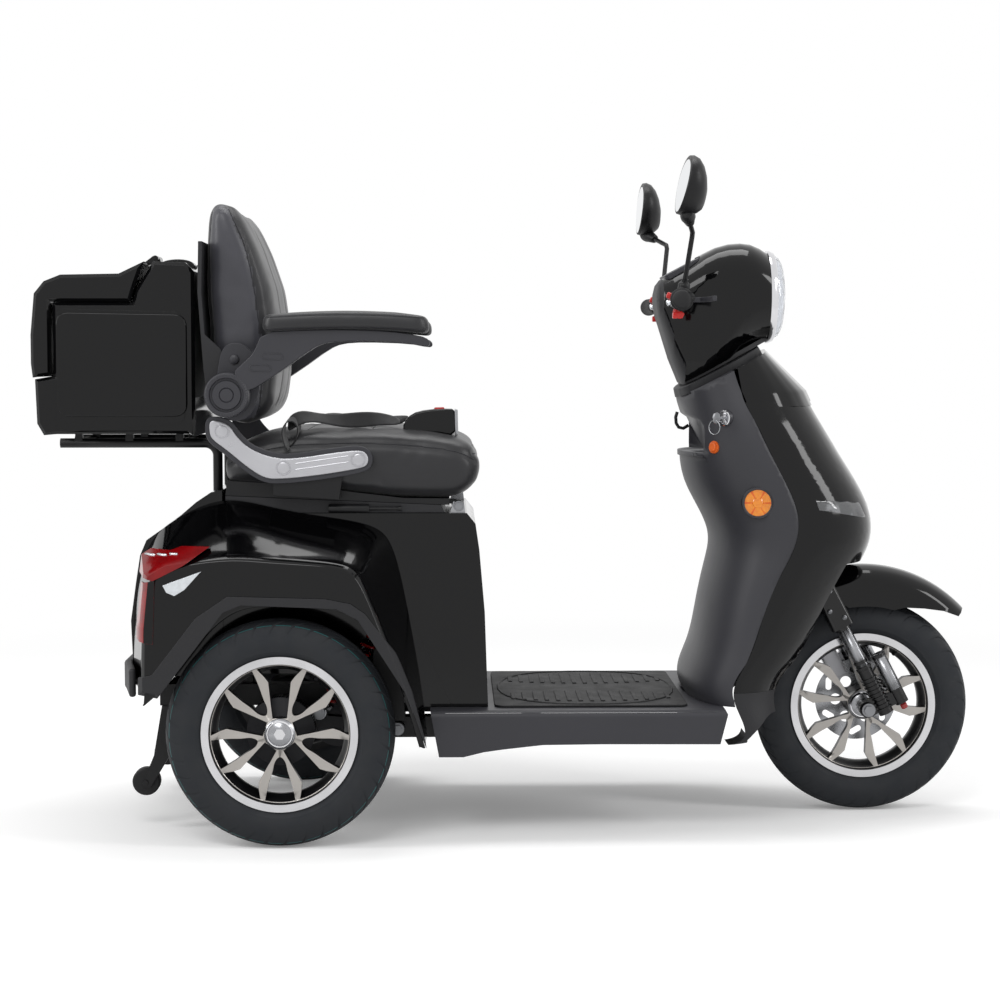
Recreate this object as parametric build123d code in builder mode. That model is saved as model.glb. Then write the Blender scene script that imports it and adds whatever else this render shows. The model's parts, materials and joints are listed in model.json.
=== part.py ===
from build123d import *
import os
from math import atan2, cos, hypot, radians, sin

os.makedirs("parts", exist_ok=True)

# Electric passenger tricycle, in millimetres. +X is forward, +Y is the rider's left, +Z is up and
# the ground is Z = 0. Side outlines are drawn as (station, height): stations run forward along the
# vehicle, and station_zero puts the origin at the middle of the overall length.

# ---- wheels ----
wheel_radius = 207.5
tyre_width = 80.0
rim_radius = 141.0
rim_width = 68.0
lip_width = 13.5
rim_wall = 4.5
spoke_pairs = 5
spoke_depth = 16.0
spoke_recess = 10.0
hub_radius = 28.0
cap_radius = 24.0
rear_drum_radius = 62.0
rear_drum_width = 40.0
tyre_seat_gap = 0.3

# ---- chassis ----
rear_axle_station = -404.0
wheelbase = 1110.0
rear_track = 600.0
rail_spacing = 300.0
rail_height = 40.0
rail_width = 30.0
rail_level = 192.0
axle_tube_radius = 24.0
rear_shaft_radius = 10.0
running_clearance = 0.05
seat_gap = 0.3
move_gap = 6.0
panel_gap = 0.5

# ---- steering ----
rake = 27.7
fork_lead = 30.0
leg_spacing = 150.0
leg_radius = 14.5
damper_radius = 13.0
front_shaft_radius = 7.5
lower_leg_top = 72.0
damper_top = 165.0
shroud_top = 298.4
yoke_height = 24.0
head_bottom = 304.0
head_top = 560.0
head_radius = 24.0
stem_radius = 15.0
cover_seam = 722.0
bar_along = 868.0
bar_half = 330.0
bar_radius = 11.0
grip_length = 118.0
grip_radius = 16.5

# ---- bodywork ----
wall = 4.0
deck_half_width = 257.0
deck_level = 236.0
mat_thickness = 4.0
seat_box_half_width = rear_track / 2 - 93.0
seat_box_top = 597.0
fender_inner = seat_box_half_width + 0.4
fender_outer = rear_track / 2 + 45.0
shield_half_width = 215.0
fairing_top = 892.0
trunk_half_width = 228.0
trunk_floor = 732.0
trunk_seam = 985.0

# ---- seat ----
pan_half_width = 205.0
cushion_half_width = 228.0
backrest_half_width = 214.0
bracket_plane = 238.0
bracket_thickness = 9.0
recliner_station = -499.0
recliner_height = seat_box_top + 219.0
recliner_pin_radius = 8.0
tilt_station = -81.0
tilt_height = seat_box_top + 13.0
hinge_plane = seat_box_half_width - 27.0
tilt_pin_radius = 5.0

# ---- anti-tip wheels ----
roller_station = -668.0
roller_radius = 26.0
roller_height = 89.0
roller_spacing = 300.0
roller_width = 26.0
roller_shaft_radius = 5.0

# ---- places worked out from them ----
front_axle_station = rear_axle_station + wheelbase
rear_end_station = -865.0
front_end_station = front_axle_station + wheel_radius
station_zero = -(rear_end_station + front_end_station) / 2
bead_radius = rim_radius - 9.0
lip_radius = rim_radius - lip_width


def side_plane(y=0.0):
    return Plane(origin=(station_zero, y, 0), x_dir=(1, 0, 0), z_dir=(0, -1, 0))


def level_plane(z=0.0):
    return Plane(origin=(station_zero, 0, z), x_dir=(1, 0, 0), z_dir=(0, 0, 1))


def cross_plane(station):
    return Plane(origin=(station_zero + station, 0, 0), x_dir=(0, 1, 0), z_dir=(1, 0, 0))


def spot(station, y, z):
    return Vector(station_zero + station, y, z)


# The steering axis leans back by the rake and passes fork_lead ahead of the front axle.
axis_up = Vector(-sin(radians(rake)), 0, cos(radians(rake)))
axis_ahead = Vector(cos(radians(rake)), 0, sin(radians(rake)))
front_centre = spot(front_axle_station, 0, wheel_radius)
axis_base = front_centre + axis_ahead * fork_lead


def steer_spot(along, ahead=0.0, side=0.0):
    return axis_base + axis_up * along + axis_ahead * ahead + Vector(0, side, 0)


def steer_plane(along, ahead=0.0, side=0.0):
    return Plane(origin=steer_spot(along, ahead, side), x_dir=axis_ahead, z_dir=axis_up)


def leaning_side_plane(y=0.0):
    # side view drawn as (ahead, along) of the steering axis
    return Plane(origin=axis_base + Vector(0, y, 0), x_dir=axis_ahead, z_dir=(0, -1, 0))


def inset(points, amount):
    # a closed outline moved inwards by amount, corner by corner
    area = sum(a[0] * b[1] - b[0] * a[1] for a, b in zip(points, points[1:] + points[:1]))
    turn = 1 if area > 0 else -1
    moved = []
    for before, here, after in zip(points[-1:] + points[:-1], points, points[1:] + points[:1]):
        u = Vector(here[0] - before[0], here[1] - before[1]).normalized()
        v = Vector(after[0] - here[0], after[1] - here[1]).normalized()
        bisector = Vector(-turn * (u.Y + v.Y), turn * (u.X + v.X)).normalized()
        reach = amount / max(0.5, bisector.dot(Vector(-turn * u.Y, turn * u.X)))
        moved.append((here[0] + bisector.X * reach, here[1] + bisector.Y * reach))
    return moved


def lifted(points):
    # a side outline whose heights are given above the seat box
    return [(station, seat_box_top + height) for station, height in points]


def save(part, name):
    part.label = name
    export_step(part, f"parts/{name}.step")


# ---- wheels ----
def axle_section(centre, outward):
    # drawn as (radius, distance outboard) of a wheel
    return Plane(origin=centre, x_dir=(0, 0, 1), z_dir=(-outward, 0, 0))


def wheel_face(centre, outward, offset):
    # square to the axle, seen from outboard
    return Plane(
        origin=centre + Vector(0, outward * offset, 0), x_dir=(-outward, 0, 0), z_dir=(0, outward, 0)
    )


window_radius = lip_radius - 3.5

# the straight-sided window between two pairs of spokes, about the +Y axis
with BuildSketch() as slot_window:
    Polygon(
        (-13.0, hub_radius), (-16.0, 53.0), (-20.4, 94.0), (-28.0, 104.0), (-41.0, 117.0),
        (0, 150.0), (41.0, 117.0), (28.0, 104.0), (20.4, 94.0), (16.0, 53.0), (13.0, hub_radius),
    )
    Circle(window_radius, mode=Mode.INTERSECT)

# the rounded window inside one pair of spokes
with BuildSketch() as crotch_window:
    with BuildLine():
        Spline(
            (28.0, 124.0), (24.6, 107.0), (19.3, 86.0), (13.0, 65.0), (8.5, 49.5), (0, 42.0),
            (-8.5, 49.5), (-13.0, 65.0), (-19.3, 86.0), (-24.6, 107.0), (-28.0, 124.0),
        )
        Polyline((-28.0, 124.0), (-28.0, 150.0), (28.0, 150.0), (28.0, 124.0))
    make_face()
    Circle(window_radius, mode=Mode.INTERSECT)


def make_rim(centre, outward, slot_angle, hub_back, bore_radius, drum):
    half = rim_width / 2
    spoke_front = half - spoke_recess
    with BuildPart() as rim:
        with BuildSketch(axle_section(centre, outward)):
            Polygon(
                (rim_radius, -half), (rim_radius, -half + 3), (bead_radius, -half + 5),
                (bead_radius - 2, -24), (119, -14), (119, 0), (bead_radius - 2, 10),
                (bead_radius, half - 5), (rim_radius, half - 3), (rim_radius, half),
                (lip_radius, half), (lip_radius - 0.5, half - 6), (window_radius + 1, half - 11),
                (119 - rim_wall, -2), (119 - rim_wall, -14), (window_radius + 1, -26),
                (lip_radius, -half),
            )
        revolve(axis=Axis(centre, (0, 1, 0)))
        with BuildSketch(wheel_face(centre, outward, spoke_front - spoke_depth)):
            Circle(window_radius + 1.5)
            with PolarLocations(0, spoke_pairs, start_angle=slot_angle - 90):
                add(slot_window.sketch, mode=Mode.SUBTRACT)
            with PolarLocations(0, spoke_pairs, start_angle=slot_angle - 90 + 180 / spoke_pairs):
                add(crotch_window.sketch, mode=Mode.SUBTRACT)
        extrude(amount=spoke_depth)
        with BuildSketch(wheel_face(centre, outward, hub_back)):
            Circle(hub_radius)
        extrude(amount=spoke_front + 2 - hub_back)
        with BuildSketch(wheel_face(centre, outward, spoke_front + 2)):
            Circle(cap_radius)
        extrude(amount=3, taper=20)
        if drum:
            with BuildSketch(wheel_face(centre, outward, -half - 8)):
                Circle(rear_drum_radius)
            extrude(amount=rear_drum_width)
        with BuildSketch(wheel_face(centre, outward, -half - 20)):
            Circle(bore_radius)
        # the rear shafts end inside the hub cap, the front one runs through
        extrude(amount=half + 20 + spoke_front + (-6 if drum else 20), mode=Mode.SUBTRACT)
    return rim.part


def make_tyre(centre):
    shoulder = wheel_radius - 12.5
    bead_half = rim_width / 2 - 5 - 0.6
    tread_half = tyre_width / 2 - 5.5
    with BuildPart() as tyre:
        with BuildSketch(axle_section(centre, 1)):
            with BuildLine():
                Polyline(
                    (rim_radius + 0.8, bead_half + 2.2), (bead_radius + tyre_seat_gap, bead_half),
                    (bead_radius + tyre_seat_gap, -bead_half), (rim_radius + 0.8, -bead_half - 2.2),
                )
                ThreePointArc(
                    (rim_radius + 0.8, -bead_half - 2.2), (168, -tyre_width / 2), (shoulder, -tread_half)
                )
                ThreePointArc((shoulder, -tread_half), (wheel_radius, 0), (shoulder, tread_half))
                ThreePointArc(
                    (shoulder, tread_half), (168, tyre_width / 2), (rim_radius + 0.8, bead_half + 2.2)
                )
            make_face()
        revolve(axis=Axis(centre, (0, 1, 0)))
    return tyre.part


sides = {"right": -1, "left": 1}
for name, side in sides.items():
    hub_centre = spot(rear_axle_station, side * rear_track / 2, wheel_radius)
    bore = rear_shaft_radius + running_clearance
    save(make_rim(hub_centre, side, 90, -rim_width / 2 - 8, bore, drum=True), f"rear_rim_{name}")
    save(make_tyre(hub_centre), f"rear_tyre_{name}")

save(
    make_rim(
        front_centre, -1, 118, -rim_width / 2 - 10, front_shaft_radius + running_clearance, drum=False
    ),
    "front_rim",
)
save(make_tyre(front_centre), "front_tyre")

disc_radius = 80.0
disc_back = rim_width / 2 + 10
with BuildPart() as front_brake_disc:
    with BuildSketch(Plane(origin=front_centre + Vector(0, disc_back + seat_gap, 0), z_dir=(0, 1, 0))):
        Circle(disc_radius)
        Circle(front_shaft_radius + 3, mode=Mode.SUBTRACT)
        with PolarLocations(62, 6):
            SlotOverall(26, 12, rotation=60, mode=Mode.SUBTRACT)
        with PolarLocations(40, 6, start_angle=30):
            Circle(11, mode=Mode.SUBTRACT)
    extrude(amount=4)
save(front_brake_disc.part, "front_brake_disc")

# ---- anti-tip wheels ----
for name, side in sides.items():
    centre = spot(roller_station, side * roller_spacing / 2, roller_height)
    with BuildPart() as roller:
        with BuildSketch(wheel_face(centre, side, -roller_width / 2)):
            Circle(roller_radius)
            Circle(roller_shaft_radius + running_clearance, mode=Mode.SUBTRACT)
        extrude(amount=roller_width)
        chamfer(roller.edges().filter_by(GeomType.CIRCLE).sort_by(SortBy.RADIUS)[-2:], 3)
    save(roller.part, f"anti_tip_wheel_{name}")

# ---- frame ----
rail_top = rail_level + rail_height / 2
rail_bottom = rail_level - rail_height / 2
kick_up = 62.0
rail_bend = -238.0
cross_stations = (rail_bend + rail_width / 2, 60.0, 372.0)
rail_rear = -640.0
rail_front = 390.0
tower_plane = seat_box_half_width + 2.0
tower_thickness = 5.0
shock_top = (-215.0, 400.0)
shock_foot = (-338.0, 232.0)
arm_pivot_station = -195.0

# level part under the floor and the seat box
with BuildPart() as frame:
    with BuildSketch(level_plane(rail_bottom)):
        for side in (-1, 1):
            with Locations(((rail_bend + rail_front) / 2, side * rail_spacing / 2)):
                Rectangle(rail_front - rail_bend, rail_width)
        for station in cross_stations:
            with Locations((station, 0)):
                Rectangle(rail_width, rail_spacing)
    extrude(amount=rail_height)
    # posts that carry the seat box top
    with BuildSketch(level_plane(rail_top)):
        for side in (-1, 1):
            with Locations((-120, side * 140)):
                Rectangle(25, 25)
    extrude(amount=seat_box_top - wall - rail_top)
save(frame.part, "frame")

# raised part over the axle, with the shock absorber towers and the anti-tip arms
with BuildPart() as rear_frame:
    for side in (-1, 1):
        with BuildSketch(side_plane(side * rail_spacing / 2)):
            Polygon(
                (rail_bend, rail_bottom), (rail_bend, rail_top), (rail_bend - 54, rail_top + kick_up),
                (rail_rear, rail_top + kick_up), (rail_rear, rail_bottom + kick_up),
                (rail_bend - 70, rail_bottom + kick_up), (rail_bend - 20, rail_bottom),
            )
        extrude(amount=rail_width / 2, both=True)
    with BuildSketch(level_plane(rail_bottom + kick_up)):
        for station in (rail_rear + rail_width, -530.0):
            with Locations((station, 0)):
                Rectangle(rail_width, rail_spacing)
    extrude(amount=rail_height)
    for side in (-1, 1):
        # shock absorber tower, outside the seat box
        with BuildSketch(side_plane(side * tower_plane)):
            with BuildLine():
                tower = Polyline(
                    (-250, rail_top), (-180, rail_top), (-196, shock_top[1]),
                    (shock_top[0], shock_top[1] + 20), (-234, shock_top[1]), close=True,
                )
            make_face()
        extrude(amount=-side * tower_thickness)
        with BuildSketch(level_plane(rail_top)):
            with Locations((-209, side * (rail_spacing / 2 + tower_plane + tower_thickness) / 2)):
                Rectangle(56, tower_plane + tower_thickness - rail_spacing / 2)
        extrude(amount=6)
        with BuildSketch(side_plane(side * (tower_plane + tower_thickness))):
            with Locations(shock_top):
                Circle(6)
        extrude(amount=-side * 30)
        # arms that carry the anti-tip wheels
        fork_gap = roller_width / 2 + 1
        middle = side * roller_spacing / 2
        with BuildSketch(side_plane(middle)):
            Polygon(
                (roller_station - 9, roller_height - 9), (roller_station + 9, roller_height - 9),
                (-624, 137), (-600, rail_bottom + kick_up), (-636, rail_bottom + kick_up), (-652, 140),
            )
        extrude(amount=fork_gap + 5, both=True)
        with BuildSketch(side_plane(middle)):
            with Locations((roller_station, roller_height)):
                Circle(roller_radius + move_gap)
        extrude(amount=fork_gap, both=True, mode=Mode.SUBTRACT)
        with BuildSketch(side_plane(middle)):
            with Locations((roller_station, roller_height)):
                Circle(roller_shaft_radius)
        extrude(amount=fork_gap + 8, both=True)
    # posts that carry the rear of the seat box top
    with BuildSketch(level_plane(rail_top + kick_up)):
        for side in (-1, 1):
            with Locations((-480, side * 140)):
                Rectangle(25, 25)
    extrude(amount=seat_box_top - wall - rail_top - kick_up)
save(rear_frame.part, "rear_frame")

# ---- down tube from the front cross member, with the steering head ----
with BuildPart() as steering_head:
    head_mid = steer_spot((head_bottom + head_top) / 2)
    foot = spot(cross_stations[-1], 0, rail_level)
    with BuildSketch(Plane(origin=foot, z_dir=(head_mid - foot).normalized())):
        Circle(20)
    extrude(amount=(head_mid - foot).length)
    with BuildSketch(steer_plane(head_bottom)):
        Circle(head_radius)
    extrude(amount=head_top - head_bottom)
    with BuildSketch(steer_plane(head_bottom - 30)):
        Circle(stem_radius + running_clearance)
    extrude(amount=head_top - head_bottom + 60, mode=Mode.SUBTRACT)
    # the tube stands on the top of the cross member
    with BuildSketch(level_plane(rail_top)):
        with Locations((cross_stations[-1], 0)):
            Rectangle(200, 200)
    extrude(amount=-100, mode=Mode.SUBTRACT)
save(steering_head.part, "steering_head")

# ---- rear axle with its gear case, motor and trailing arms ----
axle_reach = rear_track / 2 - rim_width / 2 - 12
arm_inner = (rail_spacing + rail_width) / 2
arm_width = 26.0
with BuildPart() as rear_axle:
    with BuildSketch(side_plane()):
        with Locations((rear_axle_station, wheel_radius)):
            Circle(axle_tube_radius)
    extrude(amount=axle_reach, both=True)
    with BuildSketch(side_plane()):
        with Locations((rear_axle_station, wheel_radius)):
            Circle(rear_shaft_radius)
    extrude(amount=rear_track / 2 + rim_width / 2 - spoke_recess - 8, both=True)
    with BuildSketch(side_plane()):
        with Locations((rear_axle_station, wheel_radius)):
            Circle(64)
    extrude(amount=52, both=True)
    fillet(rear_axle.edges().filter_by(GeomType.CIRCLE).sort_by(SortBy.RADIUS)[-2:], 12)
    with BuildSketch(side_plane()):
        with Locations((rear_axle_station + 92, wheel_radius - 16)):
            Circle(52)
    extrude(amount=75, both=True)
    for side in (-1, 1):
        with BuildSketch(side_plane(side * arm_inner)):
            Polygon(
                (rear_axle_station, wheel_radius - 18), (arm_pivot_station, rail_level - 13),
                (arm_pivot_station, rail_level + 13), (rear_axle_station, wheel_radius + 18),
            )
            with Locations((arm_pivot_station, rail_level)):
                Circle(13)
        extrude(amount=-side * arm_width)
        with BuildSketch(side_plane(side * tower_plane)):
            Polygon(
                (rear_axle_station - 5, wheel_radius), (rear_axle_station + 15, wheel_radius - 15),
                (shock_foot[0] + 14, shock_foot[1] - 10), (shock_foot[0] + 6, shock_foot[1] + 13),
                (shock_foot[0] - 12, shock_foot[1] + 10),
            )
        extrude(amount=-side * tower_thickness)
        with BuildSketch(side_plane(side * (tower_plane + tower_thickness))):
            with Locations(shock_foot):
                Circle(6)
        extrude(amount=-side * 30)
save(rear_axle.part, "rear_axle")

# ---- shock absorbers ----
shock_middle = tower_plane + tower_thickness + 18.5
shock_length = hypot(shock_top[0] - shock_foot[0], shock_top[1] - shock_foot[1])
shock_lean = atan2(shock_top[0] - shock_foot[0], shock_top[1] - shock_foot[1])
coil_radius = 14.5
with BuildPart() as shock_absorbers:
    for side in (-1, 1):
        foot = spot(shock_foot[0], side * shock_middle, shock_foot[1])
        line_up = Vector(sin(shock_lean), 0, cos(shock_lean))
        for start, stop, radius in (
            (10, shock_length - 10, 6), (14, 24, 16), (shock_length * 0.55, shock_length - 14, 9),
            (shock_length - 24, shock_length - 14, 16),
        ):
            with BuildSketch(Plane(origin=foot + line_up * start, z_dir=line_up)):
                Circle(radius)
            extrude(amount=stop - start)
        for place in (shock_foot, shock_top):
            with BuildSketch(side_plane(side * shock_middle)):
                with Locations(place):
                    Circle(13)
            extrude(amount=10, both=True)
            with BuildSketch(side_plane(side * shock_middle)):
                with Locations(place):
                    Circle(6.05)
            extrude(amount=12, both=True, mode=Mode.SUBTRACT)
save(shock_absorbers.part, "shock_absorbers")

with BuildPart() as shock_springs:
    for side in (-1, 1):
        foot = spot(shock_foot[0], side * shock_middle, shock_foot[1])
        line_up = Vector(sin(shock_lean), 0, cos(shock_lean))
        with BuildSketch(Plane(origin=foot + line_up * (24 + seat_gap), z_dir=line_up)):
            Circle(coil_radius)
            Circle(coil_radius - 4, mode=Mode.SUBTRACT)
        extrude(amount=shock_length - 48 - 2 * seat_gap)
save(shock_springs.part, "shock_springs")

# ---- battery pack, one plain block between the rails ----
with BuildPart() as battery_pack:
    with BuildSketch(level_plane(rail_top + seat_gap)):
        with Locations((-155, 0)):
            RectangleRounded(190, 240, 8)
    extrude(amount=300)
save(battery_pack.part, "battery_pack")

# ---- foot deck ----
with BuildPart() as foot_deck:
    with BuildSketch(side_plane()):
        Polygon(
            (-134, deck_level), (-118, 151), (-73, 151), (-36, 160), (0, 165), (73, 173),
            (182, 174), (400, 173), (414, deck_level - 8), (410, deck_level),
        )
    extrude(amount=deck_half_width, both=True)
    fillet(foot_deck.edges().filter_by(Axis.X).group_by(Axis.Z)[-1], 14)
    with BuildSketch(side_plane()):
        Polygon(
            (-170, deck_level - wall), (-170, 100), (420, 100), (400 - wall, 160),
            (410 - wall, deck_level - 10), (400, deck_level - wall),
        )
    extrude(amount=deck_half_width - wall, both=True, mode=Mode.SUBTRACT)
    # openings under the seat box and for the down tube
    with BuildSketch(level_plane(deck_level - 20)):
        with Locations((-130, 0)):
            Rectangle(150, 2 * seat_box_half_width - 40)
        with Locations((400, 0)):
            Rectangle(90, 60)
    extrude(amount=40, mode=Mode.SUBTRACT)
save(foot_deck.part, "foot_deck")

with BuildPart() as floor_mat:
    with BuildSketch(level_plane(deck_level)):
        with Locations((165, 0)):
            RectangleRounded(360, 2 * deck_half_width - 80, 20)
    extrude(amount=mat_thickness)
save(floor_mat.part, "floor_mat")

# ---- seat box ----
seat_box_outline = [
    (-27, deck_level + seat_gap), (-33, 413), (-43, 529), (-50, 577), (-66, seat_box_top),
    (-500, seat_box_top), (-516, 575), (-516, 300), (-300, 300), (-165, deck_level + seat_gap),
]
with BuildPart() as seat_box:
    with BuildSketch(side_plane()):
        Polygon(*seat_box_outline)
    extrude(amount=seat_box_half_width, both=True)
    fillet(seat_box.edges().filter_by(Axis.Y, reverse=True).group_by(Axis.X)[-5:-1], 1)
    with BuildSketch(side_plane()):
        Polygon(*inset(seat_box_outline, wall))
        Polygon((-45, 200), (-45, 260), (-165, 260), (-300, 320), (-508, 320), (-508, 200))
    extrude(amount=seat_box_half_width - wall, both=True, mode=Mode.SUBTRACT)
    # shallow groove that sets off the front corner of each side
    for side in (-1, 1):
        with BuildSketch(side_plane(side * seat_box_half_width)):
            Polygon(
                (-94, deck_level), (-131, 322), (-186, 433), (-232, 506), (-229, 508), (-182, 435.5),
                (-127, 323.5), (-90, deck_level),
            )
        extrude(amount=side * 1.6, mode=Mode.SUBTRACT)
save(seat_box.part, "seat_box")

# wedge-shaped ledge on the seat box that the seat pan comes down on
with BuildPart() as seat_ledge:
    with BuildSketch(side_plane()):
        Polygon(*lifted([(-511, 0.3), (-511, 32.7), (-114, 15.4), (-106, 0.3)]))
    extrude(amount=seat_box_half_width - 3, both=True)
    with BuildSketch(side_plane()):
        Polygon(*lifted([(-495, -1), (-495, 26), (-130, 10), (-124, -1)]))
    extrude(amount=seat_box_half_width - 3 - wall, both=True, mode=Mode.SUBTRACT)
save(seat_ledge.part, "seat_ledge")

# ---- rear fenders ----
fender_outer_line = [
    (-142, 182), (-169, 283), (-205, 372), (-246, 479), (-268, 511), (-303, 522), (-428, 529),
    (-490, 536), (-606, 519), (-640, 498), (-650, 400), (-652, 285),
]
fender_inner_line = [
    (-140, 182), (-150, 283), (-166, 372), (-184, 470), (-204, 548), (-236, 584), (-400, 600),
    (-512, 640), (-592, 596), (-664, 550), (-686, 399), (-682, 285),
]
arch_line = [
    (-668, 60), (-648, 240), (-604, 297), (-502, 430), (-470, 443), (-300, 436), (-262, 416),
    (-178, 285), (-140, 182), (-120, 60),
]
arch_trim_line = [
    (-657, 262), (-657, 312), (-629, 319), (-551, 420), (-494, 459), (-320, 454), (-275, 445),
    (-249, 427), (-195, 356), (-150, 262), (-140, 182), (-200, 150), (-600, 150),
]
lamp_line = [(-700, 507), (-700, 539), (-599, 539), (-579, 546), (-527, 546), (-572, 514), (-626, 487)]
strip_line = [(-700, 470), (-623, 488), (-627, 373), (-700, 385)]
indicator_line = [(-609, 479), (-540, 504), (-570, 471), (-588, 460), (-602, 466)]
lamp_inner = fender_inner + 60


def fender_body(side, grow, reach_in, reach_out, drop):
    # the body over one rear wheel: matching side outlines joined, with a sloped edge at the outer face
    shoulder = 12.0
    with BuildPart() as body:
        for y, line, amount in (
            (reach_in, fender_inner_line, grow),
            (reach_out - shoulder, fender_outer_line, grow),
            (reach_out, fender_outer_line, grow + 9.0),
        ):
            points = inset(line, amount)
            start = (points[0][0], points[0][1] - drop)
            stop = (points[-1][0], points[-1][1] - drop)
            with BuildSketch(side_plane(side * y)):
                Polygon(*points, stop, start)
        loft(ruled=True)
    return body.part


def fender_skin(side, line, thickness, reach_in, hole=None):
    # a thin piece that lies on the fender's surface, within a side outline
    with BuildPart() as skin:
        with BuildSketch(side_plane(side * reach_in)):
            Polygon(*line)
            if hole:
                Polygon(*hole, mode=Mode.SUBTRACT)
        extrude(amount=-side * (fender_outer + 20 - reach_in))
        add(
            fender_body(side, -thickness, fender_inner, fender_outer + thickness, 1),
            mode=Mode.INTERSECT,
        )
        add(
            fender_body(side, -seat_gap, fender_inner, fender_outer + seat_gap, 1),
            mode=Mode.SUBTRACT,
        )
    return skin.part


for name, side in sides.items():
    with BuildPart() as fender:
        add(fender_body(side, 0, fender_inner, fender_outer, 1))
        add(fender_body(side, wall, fender_inner - 1, fender_outer - wall, 40), mode=Mode.SUBTRACT)
        with BuildSketch(side_plane(side * (fender_outer - 25))):
            Polygon(*arch_line)
        extrude(amount=-side * 40, mode=Mode.SUBTRACT)
    save(fender.part, f"rear_fender_{name}")

with BuildPart() as arch_trims:
    for side in (-1, 1):
        add(fender_skin(side, arch_trim_line, 3.5, fender_outer - 14, arch_line))
save(arch_trims.part, "arch_trims")

with BuildPart() as tail_lamps:
    for side in (-1, 1):
        add(fender_skin(side, lamp_line, 4.0, lamp_inner))
        add(fender_skin(side, strip_line, 2.5, lamp_inner + 30))
save(tail_lamps.part, "tail_lamps")

with BuildPart() as rear_indicators:
    for side in (-1, 1):
        add(fender_skin(side, indicator_line, 3.0, fender_outer - 14))
save(rear_indicators.part, "rear_indicators")

# ---- tail panel between the fenders ----
rack_radius = 9.0
rack_half = 100.0
rack_leg_station = -535.0
tail_line = [
    (-516.4, 296), (-516.4, 640), (-537, 636), (-564, 618), (-592, 594), (-619, 574), (-656, 548),
    (-668, 520), (-676, 470), (-686, 399), (-682, 296),
]
with BuildPart() as tail_panel:
    with BuildSketch(side_plane()):
        Polygon(*tail_line)
    extrude(amount=fender_inner - seat_gap, both=True)
    with BuildSketch(side_plane()):
        Polygon(*inset(tail_line, wall))
        Polygon((-516 - wall, 330), (-680 + wall, 330), (-678 + wall, 200), (-516 - wall, 200))
    extrude(amount=fender_inner - seat_gap - wall, both=True, mode=Mode.SUBTRACT)
    # holes for the luggage rack's legs
    with BuildSketch(level_plane(600)):
        for side in (-1, 1):
            with Locations((rack_leg_station, side * rack_half)):
                Circle(rack_radius + seat_gap)
    extrude(amount=60, mode=Mode.SUBTRACT)
save(tail_panel.part, "tail_panel")

with BuildPart() as rear_bumper:
    with BuildSketch(level_plane(274)):
        for side in (-1, 1):
            Polygon(
                (-684.0, 0), (-684.0, side * 205), (-682.0, side * 216), (-661.5, side * 318),
                (-674, side * 320), (-694, side * 224), (-699, side * 205), (-699, 0),
            )
    extrude(amount=52)
save(rear_bumper.part, "rear_bumper")

# ---- leg shield and front fairing ----
# (height, rear centre, side edge, front centre, half width)
front_sections = [
    (166, 356, 418, 480, 226), (246, 354, 430, 540, 224), (320, 366, 453, 590, 221),
    (400, 384, 482, 640, 218), (480, 400, 515, 688, 215), (540, 407, 543, 715, 214),
    (589, 388, 547, 712, 213), (640, 362, 530, 690, 209), (700, 350, 500, 653, 200),
    (760, 350, 472, 617, 186), (820, 340, 446, 587, 166), (900, 322, 434, 505, 138),
]
wheel_well_half = 168.0
nose_bottom = 497.0


def front_body(grow, open_side, forward, edge_gap=0.0):
    # D-shaped lofted body, the front half of the shield (forward) or its rear half
    with BuildPart() as body:
        last = len(front_sections) - 1
        for number, (height, rear, edge, front, half) in enumerate(front_sections):
            ends = -20 if number == 0 else 20 if number == last else 0
            z = height + (ends if grow else 0)
            edge -= edge_gap
            middle = (front - grow) if forward else (rear + grow)
            flat = edge - open_side if forward else edge + open_side
            depth = middle - edge
            side_y = half - grow
            shape = [(0.44, 0.93), (0.79, 0.7), (0.97, 0.3)] if forward else [
                (0.42, 0.9), (0.8, 0.62), (0.96, 0.3)]
            curve = [(flat, side_y), (edge, side_y)]
            curve += [(edge + a * depth, b * side_y) for a, b in shape]
            if not open_side:
                curve = curve[1:]
            points = curve + [(middle, 0)] + [(x, -y) for x, y in reversed(curve)]
            with BuildSketch(level_plane(z)):
                with BuildLine():
                    Spline(*points)
                    Line(points[-1], points[0])
                make_face()
        loft()
    return body.part


trim_top = 262.0
# the headlamp's rim swings over the fairing's top
cap_top = cover_seam - move_gap - 13.0
stem_hole = stem_radius + 18.0


def front_hollow(forward):
    # the space inside the front bodywork, closed at the top by a cap
    with BuildPart() as hollow:
        add(front_body(wall, 12, forward))
        split(bisect_by=steer_plane(cap_top - wall), keep=Keep.BOTTOM)
    return hollow.part


with BuildPart() as nose_ridge:
    with BuildSketch(cross_plane(420)):
        Polygon((-9, 792), (-27, 818), (-33, 880), (-33, 920), (33, 920), (33, 880), (27, 818), (9, 792))
    extrude(amount=260)
    add(front_body(-4.5, 0, True), mode=Mode.INTERSECT)
    split(bisect_by=steer_plane(cap_top - 28), keep=Keep.BOTTOM)

with BuildPart() as fairing_shell:
    add(front_body(0, 0, True))
    add(nose_ridge.part)
    add(front_hollow(True), mode=Mode.SUBTRACT)
    with BuildSketch(level_plane(100)):
        with Locations((700, 0)):
            Rectangle(600, 2 * wheel_well_half)
    extrude(amount=nose_bottom - 100, mode=Mode.SUBTRACT)
    with BuildSketch(steer_plane(cap_top)):
        Rectangle(800, 800)
    extrude(amount=300, mode=Mode.SUBTRACT)
    with BuildSketch(steer_plane(cap_top - 40)):
        Circle(stem_hole)
    extrude(amount=80, mode=Mode.SUBTRACT)

with BuildPart() as front_fairing:
    add(fairing_shell.part)
    split(bisect_by=level_plane(trim_top), keep=Keep.TOP)
save(front_fairing.part, "front_fairing")

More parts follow.
